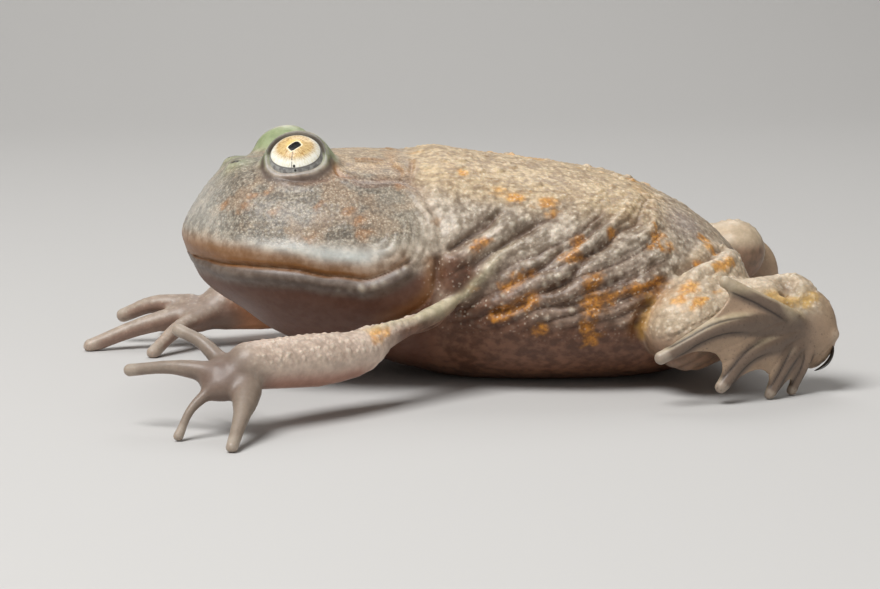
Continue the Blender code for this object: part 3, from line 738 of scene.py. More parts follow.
# Grooves between the slanting rolls of skin on the flank, low in front to high behind,
# each after how many rolls there are in front of it.
FOLD_WAY = (0.85, 0.0, 0.5)
FLANK_GROOVES = (
    (0.0, ((-3.2, -25.9, 24.5), (-0.6, -25.5, 25.9), (4.7, -24.0, 29.1), (8.3, -21.2, 32.0))),
    (1.0, ((0.8, -26.7, 21.4), (3.6, -26.6, 23.5), (9.5, -25.6, 27.3), (14.8, -24.5, 29.3))),
    (2.5, ((5.9, -27.8, 19.0), (12.1, -28.6, 21.4), (17.8, -27.9, 25.0), (22.2, -25.8, 27.4), (29.8, -19.2, 30.6))),
    (3.5, ((11.3, -29.1, 16.9), (16.9, -29.8, 19.9), (22.7, -27.7, 24.9), (31.2, -24.0, 27.3))),
    (4.7, ((18.1, -30.3, 17.2), (24.5, -30.0, 19.5), (32.3, -27.9, 22.8))),
    (5.5, ((13.5, -29.6, 15.3), (20.6, -30.4, 16.3), (26.4, -30.4, 17.6))),
    (4.0, ((4.2, -27.3, 13.9), (7.1, -28.2, 14.9), (12.2, -29.0, 17.0))),
)
THIGH_FOLD = (
    (48.0, -17.8, 24.0), (46.6, -19.2, 23.3), (43.3, -24.1, 22.6), (41.4, -25.5, 22.0), (38.0, -26.9, 20.9), (35.0, -28.7, 19.4),
)
GROIN = ((36.8, -27.8, 20.2), (33.3, -30.6, 17.4), (30.7, -30.7, 15.6), (28.9, -30.5, 12.6), (29.3, -29.3, 8.8))
NECK_CREASES = (
    ((-8.8, 0.0, 38.9), (-10.2, -10.3, 37.9), (-9.2, -14.7, 36.6), (-9.1, -18.4, 34.7)),
    ((-6.1, -8.3, 38.3), (-7.4, -14.1, 36.7), (-8.8, -18.7, 34.5)),
    ((-16.4, -9.6, 38.2), (-13.2, -9.8, 38.2), (-10.2, -10.3, 37.9)),
)
TEMPLE = (
    (-21.2, -15.6, 36.5), (-19.3, -16.7, 35.7), (-15.6, -18.5, 34.9), (-8.8, -18.7, 34.5),
    (-5.9, -22.4, 31.2), (-4.9, -24.6, 27.9), (-4.6, -25.8, 24.9),
)
THROAT_CREASE = (
    (-4.6, -25.8, 24.9), (-4.5, -26.4, 21.6), (-5.4, -27.0, 17.6), (-9.4, -26.4, 14.2), (-16.6, -24.4, 11.6),
)
ARM_RIDGE = (
    (-21.2, -38.4, 13.6), (-15.5, -36.0, 13.8), (-8.6, -31.4, 14.2), (-4.6, -28.4, 15.2),
    (-1.8, -27.2, 16.7), (0.4, -27.1, 17.9), (3.0, -27.2, 20.5), (7.0, -26.6, 24.9), (10.4, -25.6, 27.4),
)
EYE_CORNER = ((-20.9, -12.2, 38.4), (-20.2, -14.2, 37.3), (-18.9, -15.8, 36.3), (-16.6, -17.0, 35.6))
UNDER_EYE = ((-31.2, -14.4, 36.2), (-27.1, -16.7, 35.7), (-23.4, -16.9, 35.5), (-20.0, -15.2, 36.2))
# Small round marks: x, y, z, radius.
ORANGE_SPOTS = (
    (1.1, -15.1, 36.4, 1.0), (7.3, -19.2, 33.5, 1.2), (9.7, -20.0, 32.9, 1.5), (14.7, -21.3, 31.9, 1.5),
    (15.5, -23.4, 30.3, 1.0), (2.4, -25.7, 25.6, 1.2), (3.7, -25.8, 25.9, 0.8), (19.0, -27.1, 26.3, 1.0),
    (18.2, -28.6, 23.8, 1.4), (25.5, -26.0, 26.7, 1.0), (8.9, -28.3, 19.9, 1.5), (7.1, -28.1, 18.7, 1.2),
    (10.2, -28.8, 15.7, 1.9), (6.6, -28.0, 14.4, 1.5), (12.5, -28.7, 11.2, 1.2), (21.0, -30.1, 19.2, 1.4),
    (21.7, -30.5, 15.8, 2.0), (20.0, -30.4, 16.5, 1.4), (20.4, -30.2, 12.2, 1.2), (20.9, -29.3, 9.5, 1.2),
    (33.2, -24.1, 26.4, 1.4), (31.8, -26.7, 24.6, 1.0), (35.1, -25.1, 24.4, 1.2), (28.9, -30.3, 18.0, 1.5),
    (32.0, -29.8, 18.7, 1.4), (43.6, -18.4, 24.6, 1.5), (44.3, -20.4, 23.8, 1.4), (40.8, -25.6, 21.8, 0.8),
    (46.0, -24.9, 21.6, 1.2), (44.3, -27.0, 20.9, 1.2), (37.3, -32.7, 18.2, 1.7), (35.1, -34.5, 16.8, 1.4),
    (37.8, -35.4, 16.5, 1.2), (41.6, -33.1, 17.8, 0.8), (-16.1, -37.3, 13.4, 1.7), (1.3, -27.1, 18.3, 0.8),
)
# Longer marks, each a line on the skin and its half width.
ORANGE_STREAKS = (
    (((4.8, -27.4, 13.5), (7.1, -28.1, 14.4), (9.4, -28.7, 15.2), (11.7, -29.2, 16.0)), 1.0),
    (((6.1, -27.9, 18.5), (8.6, -28.3, 19.7), (11.6, -28.7, 20.9)), 0.9),
    (((19.6, -30.4, 15.5), (23.0, -30.5, 16.5), (25.8, -30.4, 17.6), (29.3, -30.2, 18.5), (32.0, -29.7, 19.2)), 0.8),
    (((19.7, -30.3, 12.8), (20.8, -30.0, 11.3), (21.7, -29.1, 8.9)), 0.8),
    (((17.3, -29.0, 22.7), (18.2, -28.7, 23.6), (19.8, -26.7, 26.9)), 0.7),
    (((33.0, -23.0, 28.0), (33.1, -25.5, 25.7), (33.9, -26.5, 24.1)), 0.8),
    (((42.5, -19.3, 24.7), (44.3, -20.4, 23.8), (45.6, -21.9, 23.3)), 0.9),
    (((34.6, -34.6, 16.4), (36.2, -33.6, 17.6), (38.4, -32.2, 18.8)), 0.9),
    (((35.6, -35.2, 16.0), (37.8, -35.4, 16.5), (39.8, -34.6, 16.9)), 0.6),
    (((42.8, -28.0, 20.6), (44.6, -26.8, 21.0), (46.4, -24.8, 21.7)), 1.0),
)
SHANK_STREAKS = (
    (((50.8, -34.0, 17.0), (53.3, -33.6, 16.2), (56.1, -33.6, 16.1), (58.4, -33.5, 16.7)), 1.3),
)
GROIN_STREAKS = (
    (((30.9, -30.5, 16.3), (30.2, -31.0, 13.8), (29.5, -30.2, 10.3)), 1.1),
)
RUSTY_SPOTS = (
    (-16.3, -25.3, 27.9, 1.2), (-39.2, -13.5, 31.5, 0.9), (-36.1, -17.3, 31.4, 0.9), (-31.2, -20.2, 31.1, 0.9),
    (-19.0, -22.7, 31.5, 0.9), (-25.9, -24.1, 27.3, 0.8), (-9.8, -18.6, 34.6, 0.9), (-17.5, -24.0, 30.0, 0.9),
    (-4.4, -23.8, 29.4, 0.9), (-34.7, -16.4, 33.3, 0.7), (-32.2, -16.8, 34.0, 0.8), (-24.0, -21.5, 32.2, 0.7),
)
PEARLS = (
    (-17.3, -26.6, 19.0, 0.7), (-15.2, -26.8, 19.7, 0.6), (-14.0, -26.8, 20.1, 0.5), (-19.4, -26.4, 18.6, 0.5),
    (-11.6, -26.7, 21.6, 0.5), (-10.2, -26.6, 22.4, 0.5), (-21.2, -26.0, 18.7, 0.4), (3.9, -27.1, 21.5, 1.0),
)
WRINKLE_CENTRE = (-16.0, -25.5, 29.0)
WRINKLE_SPACING = 1.45
JAW_ANGLE = (-12.0, -27.0, 18.0)
ARMPIT = (-3.0, -27.5, 9.5)
SHADED_FLANK = (6.5, -27.5, 16.0)
SHADED_NECK = (-1.3, -26.6, 20.4)
RUMP_SIDE = (40.0, -17.0, 27.2)
ANKLE_HOLLOW = (54.3, -31.5, 18.2)
HEEL_KNOB = (63.0, -33.2, 9.9)
SHANK_CREASE = ((52.6, -33.2, 17.8), (53.6, -33.0, 17.4), (54.7, -33.0, 17.2), (55.7, -32.8, 18.0), (57.1, -31.5, 19.2), (57.6, -29.8, 20.0))
CHIN_TUCK = (1.5, 21.3, 3.0)  # how far the lips lie behind the snout's tip, at what height, over what reach
FLAT = (1, 0, 1)  # seen from the side, as both soles face
# Some masks carry painted light: a pale reflection on cheeks and snout, shade in grooves, creases and round the lids,
# light on the far forearm, and darker undersides and jaw.
MASKS = (
    "sand", "underside_and_shade", "throat", "lid", "orange", "rusty", "pale", "groove_shade", "lip", "lower_lip", "painted_highlight", "green",
    "pink", "far_arm_tint_and_light", "yellow", "lilac", "lid_shade", "arm", "hand", "palm", "leg", "foot", "sole", "web", "tip", "crease_shadow", "ridge",
    "rough", "fine",
)


def fold_number(x, z):
    """How many rolls of the flank lie in front of each place, fitted to the named grooves."""
    numbers, knot_x, _, knot_z = np.array([(n, *knot) for n, knots in FLANK_GROOVES for knot in knots]).T

    def terms(x, z):
        return np.stack([np.ones_like(x), x, z, x * z, x * x, z * z], axis=1)

    return terms(x, z) @ np.linalg.lstsq(terms(knot_x, knot_z), numbers, rcond=None)[0]


def closeness(points, form, reach):
    """1 where the skin lies on the form itself, falling to 0 at the given distance from it."""
    near = form.near(points, reach)
    found = np.zeros(len(points))
    found[near] = 1 - smoothstep(0.1, reach, form.distance(points[near].astype(np.float32)))
    return found


class Relief:
    """The height raised over the skin, and the masks that its material reads.

    Features are drawn once, on the left side, and the right side takes them too.
    """

    def __init__(self, points, normals):
        self.points = points
        mirrored = np.where(points[:, 1] > 0, -1, 1)[:, None] ** np.array((0, 1, 0))
        wander = np.stack([noise(points, 4.0, seed) for seed in (11, 12, 13)], axis=1)
        self.left = points * mirrored + 0.35 * wander
        self.normals = normals * mirrored
        self.height = np.zeros(len(points))
        self.masks = {name: np.zeros(len(points)) for name in MASKS}
        self.body = 1 - smoothstep(0.05, 0.9, np.abs(body_distance(points)))

    def mark(self, name, values):
        self.masks[name] = np.maximum(self.masks[name], values)

    def line(self, knots, reach):
        return Line(self.left, knots, reach)

    def distance_to(self, place):
        return length(self.left - np.array(place[:3]))

    def bumps(self, weight, height, spacing, seed, size=0.5, share=1.0):
        """Round bumps where the weight is above 0; their heights are also given back."""
        where = np.flatnonzero(weight > 0.01)
        found = np.zeros(len(weight))
        found[where] = domes(self.points[where], spacing, seed, size, share) * weight[where]
        self.height += height * found
        return found

    def head(self):
        """Lips, cheek, jaw and the skin round the eyes."""
        x, y, z = self.left.T
        line = self.line(MOUTH, 6.0)
        fade = line.faded(0, 0.1)
        above = line.above
        swell = 0.5 + 0.5 * smoothstep(0, 0.35, line.along)
        upper = 0.7 * np.where(above > 0, hump(above - 2.4, 2.2), hump(2.4, 2.2) * hump(above, 0.4))
        lower = 0.8 * hump(above + 1.5, 1.1) * (above < 0)
        slot = 0.7 * hump(above, 0.32) * (0.4 + 0.6 * smoothstep(0, 0.2, line.along))
        self.height += line.spread(fade * (swell * (upper + lower) - slot))
        depth, level, reach = CHIN_TUCK
        self.height -= depth * hump(z - level, reach) * (1 - smoothstep(-44.0, -37.5, x)) * self.body
        # Painted shade in the mouth's slit.
        self.mark("groove_shade", line.spread(fade * 0.6 * hump(above + 0.1, 0.22)))
        front = 1 - 0.45 * smoothstep(0.55, 0.85, line.along)
        tip = 1 - smoothstep(0.12, 0.45, line.along)
        band = np.maximum(hump(above - 0.65 - 0.4 * tip, 0.8 + 0.7 * tip), (0.75 + 0.2 * tip) * (1 - smoothstep(1.2 + tip, 3.4 + 1.8 * tip, above)))
        self.mark("lip", line.spread(fade * front * band * smoothstep(-0.6, -0.2, above)))
        self.mark("lower_lip", line.spread(fade * smoothstep(-4.6, -2.0, above) * (above < -0.2)))
        # Painted highlight: a pale reflection band on the cheek above the upper lip.
        self.mark("painted_highlight", line.spread(fade * hump(above - 3.4, 1.6) * hump(line.along - 0.58, 0.28)))

        mouth_height = np.interp(x, [knot[0] for knot in MOUTH], [knot[2] for knot in MOUTH])
        # Below the mouth, the jaw's underside: its colour darkened as painted shade.
        below = smoothstep(1.0, 4.0, mouth_height - z) * (1 - smoothstep(-7, -3, x)) * self.body
        self.mark("throat", below)
        # Painted highlight along the top of the snout.
        snout = (1 - smoothstep(-42, -36, x)) * smoothstep(25.5, 28.5, z) * self.body
        self.mark("painted_highlight", 0.45 * snout)
        neck = smoothstep(-16, -11, x) * (1 - smoothstep(-4, 0, x)) * smoothstep(23, 26, z) * (1 - smoothstep(33, 36, z))
        self.mark("pale", 0.3 * neck * self.body)

        bulge = hump(self.distance_to(JAW_ANGLE), 6.0)
        self.height += 1.1 * bulge * self.body
        area = smoothstep(-17, -12, x) * (1 - smoothstep(-6.5, -4.5, x)) * smoothstep(20.5, 23.5, z)
        area = area * (1 - smoothstep(31, 34.5, z)) * self.body
        rings = self.distance_to(WRINKLE_CENTRE) + 0.9 * noise(self.points, 4.0, 61)
        wave = np.abs(np.sin(math.pi * rings / WRINKLE_SPACING)) ** 0.8
        area = area * (0.35 + 0.65 * smoothstep(-0.4, 0.4, noise(self.points, 3.0, 62)))
        self.height += 0.22 * area * (wave - 0.6)
        # Painted shade in the wrinkles' troughs.
        self.mark("groove_shade", 0.4 * area * (1 - wave) ** 2)

        for knots in NECK_CREASES:
            line = self.line(knots, 3.0)
            fade = line.faded(0.05, 0.3)
            self.height += line.spread(fade * (0.2 * hump(line.above - 0.9, 0.7) - 0.6 * hump(line.away, 0.35)))
            # Painted shade in the neck creases.
            self.mark("groove_shade", line.spread(fade * 0.9 * hump(line.away, 0.3)))
            self.mark("rusty", line.spread(fade * 0.7 * hump(line.away, 0.9)))
        line = self.line(TEMPLE, 3.5)
        rise = 0.45 * hump(line.away, 0.9) - 0.3 * hump(line.above - 1.4, 0.8)
        self.height += line.spread(line.faded(0.1, 0.1) * rise)
        self.mark("pink", line.spread(line.faded(0, 0.6) * 0.35 * hump(line.above - 1.0, 1.2)))
        line = self.line(THROAT_CREASE, 5.0)
        fade = line.faded(0.15, 0.2)
        self.height += line.spread(fade * (0.8 * hump(line.above - 2.4, 2.0) - 1.2 * hump(line.away, 0.8)))
        # Painted shade in the fold down the side of the neck.
        self.mark("groove_shade", line.spread(fade * hump(line.away, 0.8)))
        self.mark("rusty", line.spread(fade * 0.8 * hump(line.above + 1.0, 1.2)))
        line = self.line(UNDER_EYE, 3.0)
        fade = line.faded(0.25, 0.25)
        self.height += line.spread(fade * (0.3 * hump(line.above + 1.2, 0.9) - 0.4 * hump(line.away, 0.6)))
        self.mark("pink", line.spread(fade * 0.45 * hump(line.away, 1.1)))

        line = self.line(EYE_CORNER, 3.0)
        fade = line.faded(0.15, 0.4)
        self.height += line.spread(fade * (0.25 * hump(line.above - 1.0, 0.8) - 0.35 * hump(line.away, 0.4)))
        self.mark("rusty", line.spread(fade * 0.9 * hump(line.away, 0.6)))

        dome = np.zeros(len(x))
        from_edge = np.full(len(x), FAR)
        for side in ARMS:
            from_eye = length(self.points - np.array(EYES[side]))
            dome = np.maximum(dome, 1 - smoothstep(EYE_RADIUS + 0.7, EYE_RADIUS + 2.0, from_eye))
            near = np.flatnonzero(from_eye < EYE_RADIUS + 3)
            from_edge[near] = eye_opening(self.points[near], side)
        upper = smoothstep(39.0, 40.6, z)
        self.mark("green", dome * smoothstep(36.5, 40.0, z))
        # The lids' pale rims are partly a painted highlight on their crests.
        self.mark("lid", dome * np.where(upper > 0.5, hump(from_edge - 0.6, 0.3), hump(from_edge - 0.14, 0.15)))
        self.mark("lid_shade", np.maximum(dome * upper * hump(from_edge, 0.25), (1 - upper) * hump(from_edge - 1.1, 0.75)))
        # Painted shadow: the dark line that the upper lid's edge casts on the eye.
        self.mark("crease_shadow", 0.6 * dome * upper * hump(from_edge - 0.02, 0.15))
        self.mark("pale", 0.5 * dome * smoothstep(42.2, 43.3, z))
        nostril = self.distance_to(on_side(NOSTRIL, "left"))
        self.mark("green", 0.6 * hump(nostril, 3.4))
        # Painted shade inside the nostril.
        self.mark("crease_shadow", 1 - smoothstep(0.7, 1.15, nostril))
        for pearl in PEARLS:
            dot = hump(self.distance_to(pearl), pearl[3])
            self.height += 0.55 * pearl[3] * dot
            self.mark("pale", 0.9 * dot)

    def flank(self):
        """The slanting folds between arm and thigh, the ridge from arm to back, and the armpit."""
        x, y, z = self.left.T
        line = self.line(ARM_RIDGE, 6.0)
        fade = line.faded(0.12, 0.3)
        self.height += line.spread(fade * 0.45 * hump(line.away, 0.7))
        self.height -= line.spread(fade * 0.9 * hump(line.above + 2.2, 1.5)) * self.body
        # The ridge's pale crest is partly a painted highlight where light catches it.
        ridge = line.spread(fade * hump(line.away, 0.75))
        self.mark("ridge", ridge)
        beside_ridge = line.spread(fade * hump(line.away, 2.4))

        area = smoothstep(-6, 1, x) * (1 - smoothstep(31, 37.5, x)) * smoothstep(8, 14, z)
        area = area * (1 - smoothstep(28.5, 34, z)) * self.body * (1 - 0.8 * beside_ridge)
        number = fold_number(x, z) + 0.28 * noise(self.points, 9.0, 21) + 0.1 * noise(self.points, 3.0, 22)
        roll = np.abs(np.sin(math.pi * number)) ** 0.75
        small = np.abs(np.sin(2 * math.pi * number + 1.2)) ** 0.8
        fine = np.abs(np.sin(5 * math.pi * number)) ** 0.8
        patches = smoothstep(-0.4, 0.5, noise(self.points, 8.0, 23))
        strength = 0.75 + 0.25 * noise(self.points, 12.0, 24)
        self.height += area * strength * (1.05 * (roll - 0.65) + 0.4 * patches * (small - 0.6) + 0.14 * (fine - 0.6))
        # Painted shade in the valleys between the rolls.
        self.mark("groove_shade", area * (0.95 * (1 - roll) ** 1.3 + 0.4 * patches * (1 - small) ** 2))
        self.roll = roll * area

        for _, knots in FLANK_GROOVES:
            line = self.line(knots, 5.0)
            fade = line.faded(0.2, 0.25)
            sides = 0.35 * hump(line.above - 1.7, 1.3) + 0.3 * hump(line.above + 1.9, 1.4)
            cut = fade * (sides - 0.8 * hump(line.above, 0.7))
            self.height += line.spread(cut) * self.body
            # Painted shade in the named grooves.
            self.mark("groove_shade", line.spread(fade * hump(line.above, 0.6)) * self.body)

        line = self.line(GROIN, 5.0)
        fade = line.faded(0.3, 0.2)
        cut = fade * (0.6 * hump(line.above - 2.2, 1.6) - 1.3 * hump(line.above, 1.0))
        self.height += line.spread(cut) * self.body
        # Painted shade in the groin fold.
        self.mark("groove_shade", line.spread(fade * 0.8 * hump(line.above, 0.9)) * self.body)
        self.mark("rusty", line.spread(fade * 0.8 * hump(line.above - 0.5, 2.2)))
        line = self.line(THIGH_FOLD, 5.0)
        fade = line.faded(0.15, 0.15)
        self.height += line.spread(fade * (0.8 * hump(line.above - 2.3, 1.7) - 1.3 * hump(line.above, 0.9)))
        # Painted shade in the thigh fold.
        self.mark("groove_shade", line.spread(fade * 0.9 * hump(line.above, 0.8)))
        self.mark("pale", line.spread(fade * 0.3 * hump(line.above - 2.4, 1.5)))
        self.height -= 2.0 * hump(self.distance_to(ARMPIT), 5.5) * self.body
        self.mark("underside_and_shade", 0.8 * hump(self.distance_to(SHADED_FLANK), 6.5) * self.body)
        self.mark("underside_and_shade", np.minimum(1.4 * hump(self.distance_to(SHADED_NECK), 4.2), 1) * self.body)
        self.mark("lilac", hump(self.distance_to(RUMP_SIDE), 5.5) * self.body)

    def limbs(self):
        """What lies on arms, hands, legs and feet, with the creases of the soles."""
        x, y, z = self.left.T
        up = self.normals[:, 2]
        outward = smoothstep(-0.35, 0.3, -self.normals[:, 1])
        for side in ARMS:
            whole_arm = closeness(self.points, ARM_FORMS[side], 1.3)
            # The upper arms' undersides: painted shade.
            self.mark("underside_and_shade", 0.9 * whole_arm * smoothstep(-16, -11, x) * (1 - smoothstep(0.2, 0.7, up)))
            arm = whole_arm * (1 - smoothstep(-12, -6, x))
            wrist = np.array(ARMS[side]["wrist"])
            way = unit(np.subtract(ARMS[side]["palm"], wrist))
            hand = arm * smoothstep(-3.5, 2.5, (self.points - wrist) @ way)
            self.mark("arm", arm)
            if side == "right":
                # The far forearm: a warm tint, made lighter as painted light where the head shades it.
                self.mark("far_arm_tint_and_light", arm * (1 - hand) * (1 - smoothstep(-29, -24, x)))
                hand = 0.65 * hand
            self.mark("hand", hand)
            for knots in ARMS[side]["fingers"]:
                self.mark("tip", 1 - smoothstep(1.2, 2.6, length(self.points - knots[-1])))
            self.mark("leg", closeness(self.points, LEG_FORMS[side], 1.2))
            foot = closeness(self.points, FOOT_FORMS[side], 0.9)
            self.mark("foot", foot)
            gap = np.full(len(x), FAR)
            for number, (toe, girth) in enumerate(zip(LEGS[side]["toes"], TOE_GIRTHS)):
                line = Line(self.points * FLAT, np.multiply([LEGS[side]["heel"], *toe], FLAT), 4.0)
                radius = girth * np.interp(line.along, np.linspace(0, 1, len(TOE_RADII)), TOE_RADII)
                gap[line.at] = np.minimum(gap[line.at], line.away - radius)
                edge = hump(line.away - radius - 0.05, 0.17)
                edge = line.spread(edge * smoothstep(0.3, 0.5, line.along) * (1 - smoothstep(0.9, 0.96, line.along)))
                if number == len(TOE_GIRTHS) - 1:  # the first toe has a web on one side only
                    edge = edge * line.spread(line.above > 0)
                self.height -= 0.14 * edge
                # Painted shade along the folds where toes meet the webs.
                self.mark("crease_shadow", edge * foot)
                bulb = smoothstep(0.92, 0.97, line.along) * (1 - smoothstep(0.3, 0.8, line.away - radius))
                self.mark("tip", (0.4 if number == len(TOE_GIRTHS) - 1 else 1) * line.spread(bulb) * foot)
            away = smoothstep(7, 11, length(self.points - LEGS[side]["heel"]))
            self.mark("web", smoothstep(0.3, 1.2, gap) * foot * away)
            behind = self.points[:, 0] - LEGS[side]["heel"][0]
            self.mark("web", smoothstep(-2.5, 3.0, behind) * foot)
            sole_top = 1 - smoothstep(12.2, 15.2, z + 1.5 * noise(self.points, 5.0, 42) - 5.5 * (1 - smoothstep(-9, -4, behind)))
            self.mark("sole", foot * outward * sole_top * (1 - smoothstep(0.35, 0.8, up)))
        hollow = hump(self.distance_to(ANKLE_HOLLOW), 1.7)
        self.height -= 0.9 * hollow
        # Painted shade in the ankle hollow.
        self.mark("groove_shade", 0.7 * hollow)
        line = self.line(SHANK_CREASE, 3.0)
        fade = line.faded(0.2, 0.3)
        self.height += line.spread(fade * (0.4 * hump(line.above + 1.1, 0.7) - 1.1 * hump(line.away, 0.42)))
        # Painted shade in the fold across the shank.
        self.mark("groove_shade", line.spread(fade * hump(line.away, 0.45)))
        knob = hump(self.distance_to(HEEL_KNOB), 1.1)
        self.height += 0.8 * knob
        # A painted highlight on the heel knob.
        self.mark("tip", knob)
        outer_thigh = self.masks["leg"] * outward * smoothstep(28, 31, x) * (1 - smoothstep(46, 50, x))
        wave = np.abs(np.sin(math.pi * (0.85 * z - 0.5 * x + 0.6 * noise(self.points, 4.0, 43)) / 1.9)) ** 0.8
        outer_thigh = outer_thigh * smoothstep(-0.3, 0.3, noise(self.points, 5.0, 44))
        self.height += 0.3 * outer_thigh * (wave - 0.6)
        # Painted shade between the thigh's wrinkles.
        self.mark("groove_shade", 0.55 * outer_thigh * (1 - wave) ** 2)
        inner = smoothstep(0.1, 0.7, self.normals[:, 1]) * (1 - smoothstep(0.05, 0.55, up))
        # The inner sides of legs and feet: painted shade.
        self.mark("underside_and_shade", 0.8 * inner * np.maximum(self.masks["leg"], self.masks["foot"]))
        arm = self.masks["arm"]
        forearm = 1 - smoothstep(-20, -15.5, x)
        self.mark("pink", 0.9 * arm * forearm * (1 - smoothstep(-0.7, 0.0, up)))
        self.mark("pink", 0.9 * inner * arm * forearm)
        for arm in ARMS.values():
            self.mark("palm", self.masks["hand"] * hump(length(self.points - arm["palm"]), 5.0))

    def grain(self):
        """Granules and warts: coarse on the back, beads on the folds, fine on the head and limbs."""
        x, y, z = self.left.T
        up = self.normals[:, 2]
        behind_neck = smoothstep(-9, -5, x)
        back = behind_neck * smoothstep(26, 32, z) * self.body
        self.mark("pale", 0.35 * self.bumps(back, 0.17, 0.95, 51, 0.55))
        self.mark("pale", 0.6 * self.bumps(back, 0.6, 3.0, 52, 0.42, 0.6))
        side = smoothstep(-7, 0, x) * smoothstep(10, 15, z) * (1 - smoothstep(30, 34, z)) * self.body
        side = side * (1 - hump(self.distance_to(SHADED_NECK), 4.5))
        beads = self.bumps(side * (0.35 + 0.65 * self.roll), 0.42, 1.8, 53, 0.46, 0.8)
        self.mark("pale", 0.85 * beads)
        legs = self.masks["leg"] * smoothstep(-0.4, 0.2, up) * (1 - smoothstep(-0.2, 0.4, self.normals[:, 1]))
        ankles = [length(self.points - leg["ankle"]) for leg in LEGS.values()]
        top_of_foot = self.masks["foot"] * smoothstep(-0.1, 0.4, up) * smoothstep(12.0, 14.5, z)
        top_of_foot = top_of_foot * (1 - self.masks["sole"]) * (1 - smoothstep(6.5, 9, np.minimum(*ankles)))
        self.mark("pale", 0.7 * self.bumps(np.maximum(legs, top_of_foot), 0.32, 1.6, 54, 0.5, 0.85))
        arm = (self.masks["arm"] - self.masks["hand"]) * smoothstep(-0.3, 0.4, up)
        self.mark("pale", 0.8 * self.bumps(np.maximum(arm, 0), 0.24, 1.3, 55, 0.52, 0.9))
        head = (1 - behind_neck) * smoothstep(24.8, 27.5, z) * (1 - self.masks["green"]) * self.body
        self.mark("fine", head * (1 - 0.6 * (1 - smoothstep(-43, -37, x))))
        self.mark("rough", np.maximum(back, smoothstep(-9, -3, x) * smoothstep(8, 15, z) * self.body))
        self.mark("rough", np.maximum(0.8 * np.maximum(arm, 0), 0.9 * np.maximum(legs, top_of_foot)))
        self.mark("pale", 0.45 * self.bumps(head, 0.11, 1.0, 56, 0.55))

    def colours(self):
        """Where the broad areas of colour lie, with painted shade on the lower body and the legs' undersides."""
        x, y, z = self.left.T
        up = self.normals[:, 2]
        trunk = smoothstep(-9, -5, x)
        blur = fractal(self.points, 7.0, 31)
        knots, _, tops, _, _ = np.array(SECTIONS).T
        high = smoothstep(-9.5, -2.5, z - np.interp(x, knots, tops) + 3.0 * blur) * trunk
        high = high * (1 - 0.5 * smoothstep(34, 41, x))
        crown = 0.7 * smoothstep(35.5, 38.5, z + blur) * (1 - trunk) * smoothstep(-27, -20, x)
        self.mark("sand", np.maximum(high, crown) * self.body)
        # The belly's brown, deepened as painted shade and spread up the lower flank; the legs' down-facing sides get
        # painted shade too.
        edge = 13.2 + 4.0 * (1 - smoothstep(2, 14, x)) + 1.5 * smoothstep(24, 32, x)
        low = 1 - smoothstep(-3.0, 3.0, z - edge + 2.0 * blur)
        self.mark("underside_and_shade", low * trunk * self.body)
        self.mark("underside_and_shade", 0.6 * (1 - smoothstep(16.5, 25, z + 2.0 * blur)) * trunk * self.body)
        self.mark("underside_and_shade", 0.85 * self.masks["leg"] * (1 - smoothstep(-0.5, 0.35, up)))
        ragged = 0.6 * noise(self.points, 1.3, 32) + 0.4 * noise(self.points, 0.6, 35)
        for name, spots in (("orange", ORANGE_SPOTS), ("rusty", RUSTY_SPOTS)):
            for spot in spots:
                offset = self.left - np.array(spot[:3])
                along = offset @ unit(FOLD_WAY)
                away = np.sqrt(length(offset) ** 2 - 0.6 * along**2)
                self.mark(name, 1 - smoothstep(0.2, 1.5, 1.15 * away / spot[3] + ragged))
        for name, strength, streaks in (("orange", 1, ORANGE_STREAKS), ("yellow", 1, SHANK_STREAKS), ("yellow", 0.5, GROIN_STREAKS)):
            for knots, half_width in streaks:
                line = self.line(knots, 4.0)
                spread = strength * (1 - smoothstep(0.2, 1.5, 1.15 * line.away / half_width + ragged[line.at]))
                self.mark(name, line.spread(spread))
        patches = smoothstep(0.35, 0.75, noise(self.points, 4.2, 33) + 0.35 * noise(self.points, 1.5, 34))
        right = self.points[:, 1] > -6
        self.mark("orange", 0.55 * patches * np.where(right, 1, 0.35) * self.masks["sand"] * self.body)


def skin_normals(points):
    gradient = skin_gradient(points, 0.12)
    return gradient / np.maximum(length(gradient), 1e-6)[:, None]


def build_skin():
    """The whole skin as one mesh, with its relief and masks."""
    values, origin = sampled_field()
    points, quads = surface_net(values, origin)
    points = settle(points)
    normals = skin_normals(points)
    relief = Relief(points, normals)
    relief.head()
    relief.flank()
    relief.limbs()
    relief.grain()
    relief.colours()
    points = points + normals * relief.height[:, None]
    points[:, 2] = np.maximum(points[:, 2], 0)
    skin = mesh_piece("skin", points, quads)
    for name, values in relief.masks.items():
        layer = skin.data.attributes.new(name, "FLOAT", "POINT")
        layer.data.foreach_set("value", values.astype(np.float32))
    return skin


def linear(colour):
    """A colour in screen values from 0 to 255, as a shader takes it."""
    share = np.array(colour) / 255
    return (*np.where(share > 0.04045, ((share + 0.055) / 1.055) ** 2.4, share / 12.92).tolist(), 1.0)


